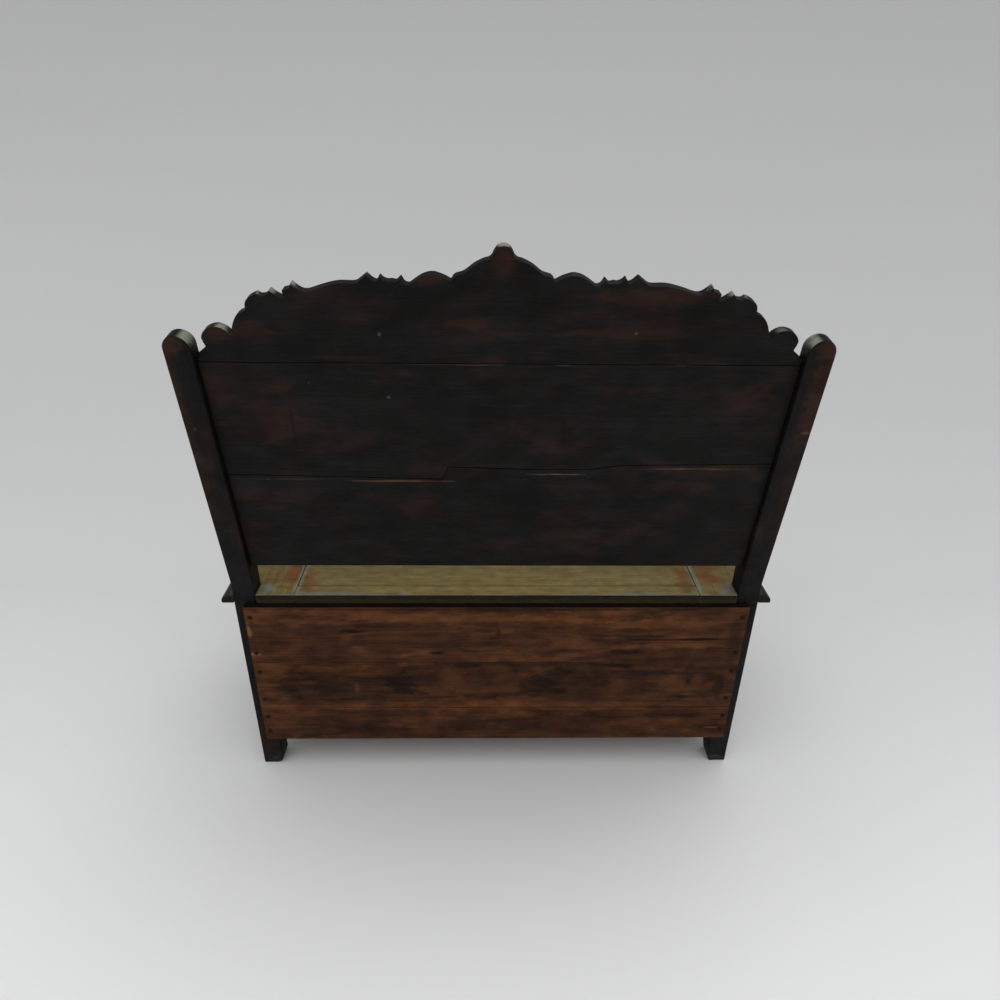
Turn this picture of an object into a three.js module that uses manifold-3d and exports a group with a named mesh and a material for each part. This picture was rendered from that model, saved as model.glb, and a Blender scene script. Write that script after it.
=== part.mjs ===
import * as THREE from "three";
import { mergeVertices } from "three/addons/utils/BufferGeometryUtils.js";
import Module from "manifold-3d";

const wasm = await Module();
wasm.setup();

// A settle bench: a box seat with a lift-up lid, arms, and a leaning back under a carved crest.
// Lengths are in millimetres. x runs to the right seen from the front, y to the back, z up.
// "Forward" is a distance towards the front from the rear faces of the rear legs, which is -y.
// A range is a [low, high] pair.

// Driving dimensions of the whole bench
const legSpan = 1015;
const frameDepth = 430;
const seatHeight = 445;
const seatThickness = 19;
const clearUnderBox = 82;

// Small gap between pieces that fit together, and the length by which a cutter passes a face
const fit = 0.3;
const overrun = 2;
const mergeDistance = 0.001;
const roundSteps = 16;

// Legs and rear posts: one square section below the seat, thinner and half-round at the post's top
const leg = { width: 42, depth: 42 };
const post = { kinkAboveSeat: 25, frontKinkAboveSeat: 60, length: 503, topDepth: 30 };
const rake = THREE.MathUtils.degToRad(9.8);

// Seat pieces, flush with the legs' rear faces, with a quarter-ellipse edge at the front and both ends
const seat = { sideOverhang: 24, frontOverhang: 25, sideWidth: 140 };
const nosing = { width: 24, drop: 13, steps: 6 };
const strip = { width: 30.5 };
const lid = { sideGap: 1.5, rearGap: 1.2 };
const pin = { radius: 4, inLid: 30, inSeat: 25 };
const batten = { width: 40, thickness: 20, fromCentre: 250, rearSetback: 45, frontClearance: 16.5 };
const screw = { shankRadius: 1.8, headRadius: 4, headHeight: 2.5, bite: 12, endShare: 0.12 };

// Frame rails, with a tenon at each end and a groove for the panels
const rail = { thickness: 22, setBack: 6, topHeight: 50, bottomHeight: 60 };
const tenon = { thickness: 8, length: 18, shoulder: 8 };
const panel = { thickness: 8, tongue: 7, rise: 5, margin: 22, bevel: 14 };
const groove = { clearance: 1 };
const muntin = { width: 50 };

// Boards that close the rear of the box, lapped over the rear legs and nailed
const rearBoard = { thickness: 12, endInset: 19, lowerHeight: 88, middleHeight: 120, topGap: 1.5 };
const nail = { radius: 1.5, length: 32, headRadius: 4, headHeight: 1.6, tip: 5, fromEdge: 24, fromEnd: 11 };

// Floor of the box
const floor = { boards: 3, thickness: 14, bearerWidth: 20, bearerHeight: 24, bearerLift: 6 };

// Back: two boards parted by a split, and the crest board on top, held in grooves in the posts
const back = { recess: 12, thickness: 18, bottom: 36, crestBelowPost: 47, crestHeight: 180, split: 0.8 };
const tongue = { thickness: 8, length: 7 };

// Places along the split between the back boards: share of the half span across, of the height up
const splitShares = [
  [-1, 0.56],
  [-0.44, 0.55],
  [-0.33, 0.53],
  [-0.08, 0.53],
  [0.19, 0.54],
  [0.21, 0.48],
  [0.54, 0.49],
  [1, 0.5],
];

// The crest's top edge from the centre to the post, as smooth runs that meet at sharp corners:
// share of the half span across, of the crest's height up
const finialShares = [[0, 1], [0.01, 0.995], [0.02, 0.98], [0.03, 0.94], [0.035, 0.91], [0.045, 0.89]];
const moundShares = [
  [[0.045, 0.89], [0.06, 0.88], [0.09, 0.84], [0.12, 0.78], [0.145, 0.76]],
  [[0.145, 0.76], [0.155, 0.74], [0.16, 0.71]],
];
const innerLobeShares = [[0.16, 0.71], [0.18, 0.74], [0.2, 0.76], [0.22, 0.77], [0.25, 0.75], [0.29, 0.68]];
const innerLeafShares = [
  [[0.29, 0.68], [0.305, 0.69], [0.315, 0.74]],
  [[0.315, 0.74], [0.33, 0.7]],
  [[0.33, 0.7], [0.345, 0.71], [0.355, 0.705]],
  [[0.355, 0.705], [0.37, 0.72], [0.38, 0.75]],
  [[0.38, 0.75], [0.39, 0.7]],
  [[0.39, 0.7], [0.405, 0.72], [0.42, 0.76]],
];
const shoulderShares = [
  [0.42, 0.76],
  [0.44, 0.72],
  [0.46, 0.69],
  [0.51, 0.69],
  [0.56, 0.66],
  [0.61, 0.62],
  [0.635, 0.64],
  [0.655, 0.69],
];
const outerLeafShares = [
  [[0.655, 0.69], [0.66, 0.65], [0.685, 0.63]],
  [[0.685, 0.63], [0.68, 0.56]],
  [[0.68, 0.56], [0.7, 0.58], [0.725, 0.63]],
  [[0.725, 0.63], [0.735, 0.59], [0.755, 0.58], [0.765, 0.6]],
  [[0.765, 0.6], [0.79, 0.57], [0.805, 0.53], [0.81, 0.46]],
  [[0.81, 0.46], [0.84, 0.42], [0.86, 0.33], [0.87, 0.24]],
];
const endLobeShares = [
  [[0.87, 0.24], [0.885, 0.29], [0.91, 0.32], [0.935, 0.31], [0.955, 0.28], [0.968, 0.22], [0.96, 0.14]],
  [[0.96, 0.14], [0.975, 0.1], [1, 0.05]],
];
const crestShares = [
  finialShares,
  ...moundShares,
  innerLobeShares,
  ...innerLeafShares,
  shoulderShares,
  ...outerLeafShares,
  ...endLobeShares,
];
const crestSteps = 3;

// Arms and the turned supports under their front ends
const arm = { rise: 195, width: 46, thickness: 30, frontOverhang: 16, tenonHeight: 16, tenonThickness: 12 };
const support = { width: 38, blockShare: 0.15, spigotRadius: 8, spigotLength: 13, sides: 20 };

// The arm's top edge and scrolled front end: share of its length forward, of its thickness up
const armShares = [
  [[0, 1], [0.2, 0.9], [0.5, 0.82], [0.75, 0.94], [0.88, 1.12], [0.95, 1.13]],
  [[0.95, 1.13], [0.99, 0.95], [1, 0.6], [0.985, 0.2], [0.96, 0]],
];
const armSteps = 2;

// The turned part of a support: share of its half width outwards, of its height up
const supportShares = [
  [0.72, 0],
  [0.95, 0.03],
  [0.95, 0.08],
  [0.6, 0.12],
  [0.5, 0.16],
  [0.78, 0.27],
  [0.94, 0.4],
  [0.8, 0.53],
  [0.5, 0.69],
  [0.42, 0.79],
  [0.62, 0.85],
  [0.95, 0.9],
  [0.95, 0.95],
  [0.72, 1],
];

const darkOak = new THREE.MeshStandardMaterial({ color: 0x2a2220, roughness: 0.55, metalness: 0 });
const stainedPine = new THREE.MeshStandardMaterial({ color: 0x5c3823, roughness: 0.7, metalness: 0 });
const waxedSeat = new THREE.MeshStandardMaterial({ color: 0x6b5a3c, roughness: 0.35, metalness: 0 });
const oldIron = new THREE.MeshStandardMaterial({ color: 0x4a4038, roughness: 0.6, metalness: 0.8 });

// Places worked out from the sizes
const halfSpan = legSpan / 2;
const legInner = halfSpan - leg.width;
const frontLegRear = frameDepth - leg.depth;
const seatUnderside = seatHeight - seatThickness;
const seatEnd = halfSpan + seat.sideOverhang;
const seatFront = frameDepth + seat.frontOverhang;
const lidEnd = seatEnd - seat.sideWidth;
const pinForward = strip.width + lid.rearGap + seatThickness / 2;
const pinHeight = seatHeight - seatThickness / 2;
const topRail = [seatUnderside - fit - rail.topHeight, seatUnderside - fit];
const bottomRail = [clearUnderBox, clearUnderBox + rail.bottomHeight];
const frontRailMid = frameDepth - rail.setBack - rail.thickness / 2;
const sideRailMid = halfSpan - rail.setBack - rail.thickness / 2;
const rearRailMid = fit + rail.thickness / 2;
const grooveDepth = panel.tongue + groove.clearance;
const battenFront = frontRailMid - rail.thickness / 2 - batten.frontClearance - pinForward;
const battenLength = battenFront - batten.rearSetback;
const kinkHeight = seatHeight + post.kinkAboveSeat;
const frontKinkHeight = seatHeight + post.frontKinkAboveSeat;
const crestJoint = post.length - back.crestBelowPost;
const crestTop = crestJoint + back.crestHeight;

// How far the crest leans behind the rear faces of the rear legs
const lean = crestTop * Math.sin(rake) - back.recess * Math.cos(rake);

const bench = new THREE.Group();
bench.position.y = (seatFront - lean) / 2;
const backGroup = new THREE.Group();
backGroup.position.z = kinkHeight;
backGroup.rotation.x = -rake;
backGroup.updateMatrix();
const lidGroup = new THREE.Group();
lidGroup.position.set(0, -pinForward, pinHeight);
bench.add(backGroup, lidGroup);

// Solids and meshes

function toSolid(geometry) {
  const bare = geometry.clone();
  bare.deleteAttribute("normal");
  bare.deleteAttribute("uv");
  const merged = mergeVertices(bare, mergeDistance);
  const corners = merged.index.array;
  const kept = [];
  for (let i = 0; i < corners.length; i += 3) {
    const [a, b, c] = corners.slice(i, i + 3);
    if (a !== b && b !== c && c !== a) kept.push(a, b, c);
  }
  return new wasm.Manifold(
    new wasm.Mesh({
      numProp: 3,
      vertProperties: merged.attributes.position.array,
      triVerts: new Uint32Array(kept),
    }),
  );
}

function toGeometry(solid) {
  const { vertProperties, triVerts } = solid.getMesh();
  const geometry = new THREE.BufferGeometry();
  geometry.setAttribute("position", new THREE.BufferAttribute(vertProperties, 3));
  geometry.setIndex(new THREE.BufferAttribute(triVerts, 1));
  return geometry;
}

// The first geometry with the others joined to it.
const joined = (first, ...others) =>
  toGeometry(others.reduce((solid, other) => solid.add(toSolid(other)), toSolid(first)));

// The first geometry with the others cut out of it.
const cut = (first, ...others) =>
  toGeometry(others.reduce((solid, other) => solid.subtract(toSolid(other)), toSolid(first)));

const common = (first, second) => toGeometry(toSolid(first).intersect(toSolid(second)));

function add(group, name, geometry, material) {
  const mesh = new THREE.Mesh(geometry, material);
  mesh.name = name;
  group.add(mesh);
  return mesh;
}

// A piece of the right-hand side and its mirror image on the left.
function addPair(group, name, geometry, material) {
  add(group, `${name}_right`, geometry, material);
  add(group, `${name}_left`, geometry, material).scale.x = -1;
}

// Shapes

// A block from ranges across, forward and up.
function block([x0, x1], [f0, f1], [z0, z1]) {
  const box = new THREE.BoxGeometry(x1 - x0, f1 - f0, z1 - z0);
  return box.translate((x0 + x1) / 2, -(f0 + f1) / 2, (z0 + z1) / 2);
}

const around = (middle, size) => [middle - size / 2, middle + size / 2];
const grown = ([low, high], by) => [low - by, high + by];
const ordered = (a, b) => [Math.min(a, b), Math.max(a, b)];

const acrossBasis = new THREE.Matrix4().makeBasis(
  new THREE.Vector3(0, -1, 0),
  new THREE.Vector3(0, 0, 1),
  new THREE.Vector3(-1, 0, 0),
);
const forwardBasis = new THREE.Matrix4().makeBasis(
  new THREE.Vector3(1, 0, 0),
  new THREE.Vector3(0, 0, 1),
  new THREE.Vector3(0, -1, 0),
);

function extruded(points, depth) {
  return new THREE.ExtrudeGeometry(new THREE.Shape(points), { depth, bevelEnabled: false });
}

// A side-view outline of [forward, up] points, drawn out over a range across.
function sideProfile(points, [x0, x1]) {
  const outline = points.map(([forward, up]) => new THREE.Vector2(forward, up));
  return extruded(outline, x1 - x0).applyMatrix4(acrossBasis).translate(x1, 0, 0);
}

// A front-view outline of [across, up] points, drawn out over a range forward.
function frontProfile(points, [f0, f1]) {
  const outline = points.map(([across, up]) => new THREE.Vector2(across, up));
  return extruded(outline, f1 - f0).applyMatrix4(forwardBasis).translate(0, -f0, 0);
}

// Points along smooth runs, each run starting where the one before it ends.
function smoothPoints(runs, steps) {
  return runs.flatMap((run, index) => {
    const curve = new THREE.SplineCurve(run.map(([x, y]) => new THREE.Vector2(x, y)));
    const points = curve.getPoints((run.length - 1) * steps).map(({ x, y }) => [x, y]);
    return index ? points.slice(1) : points;
  });
}

// A round bar along z from its low end.
function bar(radius, length, sides = roundSteps) {
  const cylinder = new THREE.CylinderGeometry(radius, radius, length, sides);
  return cylinder.rotateX(Math.PI / 2).translate(0, 0, length / 2);
}

// A turned shape along z from [radius, height] points.
function turned(points, sides = roundSteps) {
  const outline = points.map(([radius, height]) => new THREE.Vector2(radius, height));
  return new THREE.LatheGeometry(outline, sides).rotateX(Math.PI / 2);
}

// Joinery

// Mortises and a panel groove in a leg, for rails that meet it at a face.
function railCuts(rangeAcross, rangeForward, hasPanel) {
  const reach = tenon.length + fit;
  const mortises = [topRail, bottomRail].map((range) =>
    block(rangeAcross(reach), rangeForward(reach), grown(range, fit - tenon.shoulder)),
  );
  const panelRange = grown([bottomRail[1], topRail[0]], grooveDepth);
  const slot = block(rangeAcross(grooveDepth), rangeForward(grooveDepth), panelRange);
  return hasPanel ? [...mortises, slot] : mortises;
}

// Cuts in the inner face of a leg for a rail that runs across the bench.
function crossRailCuts(middleForward, hasPanel) {
  const across = (depth) => [legInner - overrun, legInner + depth];
  const forward = () => around(middleForward, tenon.thickness + 2 * fit);
  return railCuts(across, forward, hasPanel);
}

// Cuts in the front or rear face of a leg for a rail that runs front to back.
function sideRailCuts(face, direction) {
  const across = () => around(sideRailMid, tenon.thickness + 2 * fit);
  const forward = (depth) => ordered(face - direction * overrun, face + direction * depth);
  return railCuts(across, forward, true);
}

// A rail along x, centred, with a tenon at each end. Panels enter it from grooveSide, 1 up or -1 down.
function railShape(length, height, grooveSide = 0) {
  const core = block(around(0, length), around(0, rail.thickness), around(0, height));
  const tenonReach = length + 2 * tenon.length;
  const tenonHeight = height - 2 * tenon.shoulder;
  const tenons = block(around(0, tenonReach), around(0, tenon.thickness), around(0, tenonHeight));
  const whole = joined(core, tenons);
  if (!grooveSide) return whole;
  const edge = (grooveSide * height) / 2;
  const slotHeight = ordered(edge - grooveSide * grooveDepth, edge + grooveSide * overrun);
  const slotThickness = around(0, panel.thickness + 2 * fit);
  return cut(whole, block(around(0, length + overrun), slotThickness, slotHeight));
}

// A panel in the x-z plane with a raised field towards the front, for an opening of the given size.
function panelShape(width, height) {
  const slab = block(
    around(0, width + 2 * panel.tongue),
    around(0, panel.thickness),
    around(0, height + 2 * panel.tongue),
  );
  const fieldWidth = width - 2 * panel.margin;
  const fieldHeight = height - 2 * panel.margin;
  const face = panel.thickness / 2;
  const field = block(around(0, fieldWidth), [0, face + panel.rise], around(0, fieldHeight));
  const place = field.attributes.position;
  for (let i = 0; i < place.count; i += 1) {
    if (place.getY(i) < 0) {
      place.setX(i, place.getX(i) - Math.sign(place.getX(i)) * panel.bevel);
      place.setZ(i, place.getZ(i) - Math.sign(place.getZ(i)) * panel.bevel);
    }
  }
  return joined(slab, field);
}

// Nails of the rear boards

const rearBoardHeights = (() => {
  const first = bottomRail[0];
  const second = first + rearBoard.lowerHeight;
  const third = second + rearBoard.middleHeight;
  const top = seatUnderside - rearBoard.topGap;
  return [
    [first, second - fit],
    [second, third - fit],
    [third, top],
  ];
})();
const rearBoardEnd = halfSpan - rearBoard.endInset;
const nailPlaces = rearBoardHeights.flatMap(([low, high]) =>
  [low + nail.fromEdge, high - nail.fromEdge].map((height) => [rearBoardEnd - nail.fromEnd, height]),
);

// Something made along z is laid along y, pointing forward from behind the boards.
const pointForward = (geometry, [x, z], forward) => geometry.rotateX(Math.PI / 2).translate(x, -forward, z);

const nailHoles = nailPlaces.flatMap(([x, z]) => {
  const start = -rearBoard.thickness - fit - overrun;
  const depth = nail.length + 2 * fit + overrun;
  return [x, -x].map((place) => pointForward(bar(nail.radius + fit, depth), [place, z], start));
});

function addNails() {
  const headFace = -rearBoard.thickness - 2 * fit - nail.headHeight;
  const shape = turned([
    [0, 0],
    [nail.headRadius, 0],
    [nail.headRadius, nail.headHeight],
    [nail.radius, nail.headHeight],
    [nail.radius, nail.headHeight + nail.length - nail.tip],
    [0, nail.headHeight + nail.length],
  ]);
  nailPlaces.forEach((place, index) => {
    const geometry = pointForward(shape.clone(), place, headFace);
    addPair(bench, `rear_nail_${index + 1}`, geometry, oldIron);
  });
}

// Legs and posts

function addFrontLegs() {
  const body = block([legInner, halfSpan], [frontLegRear, frameDepth], [0, seatUnderside - fit]);
  const cuts = [...crossRailCuts(frontRailMid, true), ...sideRailCuts(frontLegRear, 1)];
  addPair(bench, "front_leg", cut(body, ...cuts), darkOak);
}

// Where the front face of a post is at a height above the front kink.
function postFrontForward(height) {
  const topForward = post.topDepth * Math.cos(rake) - post.length * Math.sin(rake);
  const topHeight = kinkHeight + post.length * Math.cos(rake) + post.topDepth * Math.sin(rake);
  const share = (height - frontKinkHeight) / (topHeight - frontKinkHeight);
  return leg.depth + share * (topForward - leg.depth);
}

const armUnderside = seatHeight + arm.rise;
const armMiddle = armUnderside + arm.thickness / 2;

// A cutter that leaves a half-round top on a post, square to its leaning rear face.
function postTopCutter() {
  const radius = leg.width / 2;
  const middle = halfSpan - radius;
  const spring = post.length - radius;
  const reach = grown([0, leg.depth], leg.depth);
  const above = block(around(middle, leg.width + 2 * overrun), reach, [spring, post.length + leg.depth]);
  const round = bar(radius, 3 * leg.depth, 2 * roundSteps);
  const placed = round.rotateX(Math.PI / 2).translate(middle, leg.depth, spring);
  return cut(above, placed).applyMatrix4(backGroup.matrix);
}

function addRearPosts() {
  const topLean = Math.sin(rake) * post.length;
  const climb = kinkHeight + Math.cos(rake) * post.length;
  const body = sideProfile(
    [
      [0, 0],
      [0, kinkHeight],
      [-topLean, climb],
      [post.topDepth * Math.cos(rake) - topLean, climb + post.topDepth * Math.sin(rake)],
      [leg.depth, frontKinkHeight],
      [leg.depth, 0],
    ],
    [legInner, halfSpan],
  );
  const tongueMiddle = back.recess + back.thickness / 2;
  const crestEnd = crestJoint + back.crestHeight * crestShares.at(-1).at(-1)[1];
  const backGroove = block(
    [legInner - overrun, legInner + tongue.length + fit],
    around(tongueMiddle, tongue.thickness + 2 * fit),
    grown([back.bottom, crestEnd], fit),
  ).applyMatrix4(backGroup.matrix);
  const armMortise = block(
    around(halfSpan - leg.width / 2, arm.tenonThickness + 2 * fit),
    [postFrontForward(armMiddle) - tenon.length - fit, leg.depth],
    around(armMiddle, arm.tenonHeight + 2 * fit),
  );
  const cuts = [
    postTopCutter(),
    backGroove,
    armMortise,
    ...crossRailCuts(rearRailMid, false),
    ...sideRailCuts(leg.depth, -1),
    ...nailHoles,
  ];
  addPair(bench, "rear_post", cut(body, ...cuts), darkOak);
}

// Back boards and crest

// A back board of a front-view outline, with a thinner tongue at both ends.
function tonguedBoard(outlineFor) {
  const reach = legInner - fit;
  const thick = frontProfile(outlineFor(reach), [back.recess, back.recess + back.thickness]);
  const thin = frontProfile(
    outlineFor(reach + tongue.length),
    around(back.recess + back.thickness / 2, tongue.thickness),
  );
  return joined(thick, thin);
}

function addBackBoards() {
  const height = crestJoint - back.bottom;
  const splitLine = (reach, lift) =>
    splitShares.map(([across, up]) => {
      const x = Math.abs(across) === 1 ? across * reach : across * legInner;
      return [x, back.bottom + up * height + lift];
    });
  const gap = back.split / 2;
  const edgeAt = (reach, up) => [[reach, up], [-reach, up]];
  const lower = (reach) => [...edgeAt(reach, back.bottom), ...splitLine(reach, -gap)];
  const upper = (reach) => [...edgeAt(reach, crestJoint - fit), ...splitLine(reach, gap)];
  add(backGroup, "back_board_lower", tonguedBoard(lower), darkOak);
  add(backGroup, "back_board_upper", tonguedBoard(upper), darkOak);
}

function addCrest() {
  const edge = smoothPoints(crestShares, crestSteps).map(([across, up]) => [
    across * (legInner - fit),
    crestJoint + up * back.crestHeight,
  ]);
  const endHeight = edge.at(-1)[1];
  const outline = (reach) => {
    const right = [...edge, [reach, endHeight], [reach, crestJoint]];
    const distinct = right.filter(([x, z], i) => !i || x !== right[i - 1][0] || z !== right[i - 1][1]);
    const left = distinct.slice(1).map(([x, z]) => [-x, z]);
    return [...distinct, ...left.reverse()];
  };
  add(backGroup, "crest_board", tonguedBoard(outline), darkOak);
}

// Seat

// The seat's edge profile as points out and up from the underside, ending level with the top.
function nosingPoints() {
  const points = [[0, 0]];
  for (let i = 0; i <= nosing.steps; i += 1) {
    const angle = (i / nosing.steps) * (Math.PI / 2);
    const inward = nosing.width * (1 - Math.cos(angle));
    const up = seatThickness - nosing.drop + nosing.drop * Math.sin(angle);
    points.push([-inward, up]);
  }
  return points;
}

function addSeatSides() {
  const ends = nosingPoints().map(([out, up]) => [seatEnd + out, seatUnderside + up]);
  const fronts = nosingPoints().map(([out, up]) => [seatFront + out, seatUnderside + up]);
  const lengthwise = frontProfile(
    [...ends, [lidEnd, seatHeight], [lidEnd, seatUnderside]],
    [0, seatFront],
  );
  const crosswise = sideProfile(
    [...fronts, [0, seatHeight], [0, seatUnderside]],
    [lidEnd, seatEnd],
  );
  const height = grown([seatUnderside, seatHeight], overrun);
  const postNotch = block(
    grown([legInner, halfSpan], fit),
    [-overrun, leg.depth + fit],
    height,
  );
  const pinHole = bar(pin.radius + fit, pin.inSeat + fit + overrun)
    .rotateY(Math.PI / 2)
    .translate(lidEnd - overrun, -pinForward, pinHeight);
  const spigotHole = bar(support.spigotRadius + fit, support.spigotLength + overrun).translate(
    halfSpan - leg.width / 2,
    -(frameDepth - leg.depth / 2),
    seatHeight - support.spigotLength,
  );
  const whole = common(lengthwise, crosswise);
  addPair(bench, "seat_side", cut(whole, postNotch, pinHole, spigotHole), waxedSeat);
}

function addSeatStrip() {
  const reach = 2 * (lidEnd - fit);
  const geometry = block(around(0, reach), [0, strip.width], [seatUnderside, seatHeight]);
  add(bench, "seat_rear_strip", geometry, waxedSeat);
}

const battenUnderside = -seatThickness / 2 - fit - batten.thickness;
const screwPlaces = [screw.endShare, 1 - screw.endShare].flatMap((share) =>
  [batten.fromCentre, -batten.fromCentre].map((x) => [x, batten.rearSetback + share * battenLength]),
);

// The lid's own origin is on the axis of its pins.
function addLid() {
  const half = seatThickness / 2;
  const front = seatFront - pinForward;
  const fronts = nosingPoints().map(([out, up]) => [front + out, up - half]);
  const rears = [];
  for (let i = 0; i <= roundSteps; i += 1) {
    const angle = Math.PI / 2 + (i / roundSteps) * Math.PI;
    rears.push([half * Math.cos(angle), half * Math.sin(angle)]);
  }
  const reach = lidEnd - lid.sideGap;
  const body = sideProfile([...fronts, ...rears], [-reach, reach]);
  const hole = bar(pin.radius + fit, pin.inLid + fit + overrun);
  const holes = [
    hole.clone().rotateY(Math.PI / 2).translate(reach - pin.inLid - fit, 0, 0),
    hole.clone().rotateY(-Math.PI / 2).translate(pin.inLid + fit - reach, 0, 0),
  ];
  const screwHoles = screwPlaces.map(([x, forward]) =>
    bar(screw.shankRadius + fit, screw.bite + overrun).translate(x, -forward, -half - overrun),
  );
  add(lidGroup, "seat_lid", cut(body, ...holes, ...screwHoles), waxedSeat);
}

function addLidBattens() {
  const forward = [batten.rearSetback, battenFront];
  const up = [battenUnderside, battenUnderside + batten.thickness];
  [
    ["right", 1],
    ["left", -1],
  ].forEach(([side, sign]) => {
    const body = block(around(sign * batten.fromCentre, batten.width), forward, up);
    const holes = screwPlaces.map(([x, place]) => {
      const sink = bar(screw.headRadius + fit, screw.headHeight + overrun).translate(0, 0, -overrun);
      const through = bar(screw.shankRadius + fit, batten.thickness + overrun);
      return joined(through, sink).translate(x, -place, battenUnderside);
    });
    add(lidGroup, `lid_batten_${side}`, cut(body, ...holes), stainedPine);
  });
  const shankTop = batten.thickness + screw.bite - fit;
  const shape = turned([
    [0, 0],
    [screw.headRadius, 0],
    [screw.shankRadius, screw.headHeight - fit],
    [screw.shankRadius, shankTop - screw.shankRadius],
    [0, shankTop],
  ]);
  screwPlaces.forEach(([x, place], index) => {
    add(lidGroup, `batten_screw_${index + 1}`, shape.clone().translate(x, -place, battenUnderside), oldIron);
  });
}

function addPins() {
  const length = pin.inLid + lid.sideGap + pin.inSeat;
  const geometry = bar(pin.radius, length).rotateY(Math.PI / 2);
  geometry.translate(lidEnd - lid.sideGap - pin.inLid, -pinForward, pinHeight);
  addPair(bench, "lid_pin", geometry, oldIron);
}

// Rails, panels, rear boards and floor

function addFrontFrame() {
  const length = 2 * (legInner - fit);
  const mortise = (railRange, grooveSide) => {
    const middle = (railRange[0] + railRange[1]) / 2;
    const height = railRange[1] - railRange[0];
    const edge = (grooveSide * height) / 2;
    const slot = block(
      around(0, muntin.width - 2 * tenon.shoulder + 2 * fit),
      around(0, tenon.thickness + 2 * fit),
      ordered(edge - grooveSide * (tenon.length + fit), edge + grooveSide * overrun),
    );
    return cut(railShape(length, height, grooveSide), slot).translate(0, -frontRailMid, middle);
  };
  add(bench, "front_rail_top", mortise(topRail, -1), darkOak);
  add(bench, "front_rail_bottom", mortise(bottomRail, 1), darkOak);

  const low = bottomRail[1] + fit;
  const high = topRail[0] - fit;
  const body = block(around(0, muntin.width), around(frontRailMid, rail.thickness), [low, high]);
  const tenons = block(
    around(0, muntin.width - 2 * tenon.shoulder),
    around(frontRailMid, tenon.thickness),
    grown([low, high], tenon.length),
  );
  const slots = [1, -1].map((side) => {
    const face = muntin.width / 2;
    const across = ordered(side * (face + overrun), side * (face - grooveDepth));
    const thickness = around(frontRailMid, panel.thickness + 2 * fit);
    return block(across, thickness, grown([low, high], overrun));
  });
  add(bench, "front_muntin", joined(cut(body, ...slots), tenons), darkOak);

  const width = legInner - muntin.width / 2;
  const height = topRail[0] - bottomRail[1];
  const geometry = panelShape(width, height);
  geometry.translate(muntin.width / 2 + width / 2, -frontRailMid, (topRail[0] + bottomRail[1]) / 2);
  addPair(bench, "front_panel", geometry, darkOak);
}

function addSideFrames() {
  const length = frontLegRear - leg.depth - 2 * fit;
  const middle = (frontLegRear + leg.depth) / 2;
  const turn = (geometry, height) => geometry.rotateZ(Math.PI / 2).translate(sideRailMid, -middle, height);
  const railAt = ([low, high], side) => turn(railShape(length, high - low, side), (low + high) / 2);
  addPair(bench, "side_rail_top", railAt(topRail, -1), darkOak);
  addPair(bench, "side_rail_bottom", railAt(bottomRail, 1), darkOak);
  const height = topRail[0] - bottomRail[1];
  const geometry = panelShape(frontLegRear - leg.depth, height);
  addPair(bench, "side_panel", turn(geometry, (topRail[0] + bottomRail[1]) / 2), darkOak);
}

function addRearFrame() {
  const length = 2 * (legInner - fit);
  [
    ["rear_rail_top", topRail],
    ["rear_rail_bottom", bottomRail],
  ].forEach(([name, [low, high]]) => {
    const whole = railShape(length, high - low).translate(0, -rearRailMid, (low + high) / 2);
    add(bench, name, cut(whole, ...nailHoles), stainedPine);
  });
  ["lower", "middle", "upper"].forEach((name, index) => {
    const forward = [-rearBoard.thickness - fit, -fit];
    const whole = block(around(0, 2 * rearBoardEnd), forward, rearBoardHeights[index]);
    add(bench, `rear_board_${name}`, cut(whole, ...nailHoles), stainedPine);
  });
}

function addFloor() {
  const bearerLow = clearUnderBox + floor.bearerLift;
  const bearerRange = [bearerLow, bearerLow + floor.bearerHeight];
  const sideFace = sideRailMid - rail.thickness / 2;
  const rearFace = rearRailMid + rail.thickness / 2;
  const frontFace = frontRailMid - rail.thickness / 2;
  const between = grown([rearFace, frontFace], -fit);
  const sideBearer = block(
    [sideFace - fit - floor.bearerWidth, sideFace - fit],
    grown([leg.depth, frontLegRear], -fit),
    bearerRange,
  );
  addPair(bench, "floor_bearer", sideBearer, stainedPine);
  const middleBearer = block(around(0, floor.bearerWidth), between, bearerRange);
  add(bench, "floor_bearer_middle", middleBearer, stainedPine);

  const boardLow = bearerRange[1] + fit;
  const boardRange = [boardLow, boardLow + floor.thickness];
  const reach = sideFace - fit;
  const pitch = (between[1] - between[0]) / floor.boards;
  const corners = [1, -1].flatMap((side) =>
    [
      [0, leg.depth],
      [frontLegRear, frameDepth],
    ].map((forward) => {
      const across = ordered(side * legInner, side * halfSpan);
      return block(grown(across, fit), grown(forward, fit), [0, seatUnderside]);
    }),
  );
  for (let i = 0; i < floor.boards; i += 1) {
    const start = between[0] + i * pitch;
    const whole = block([-reach, reach], [start + fit / 2, start + pitch - fit / 2], boardRange);
    add(bench, `floor_board_${i + 1}`, cut(whole, ...corners), stainedPine);
  }
}

// Arms

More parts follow.
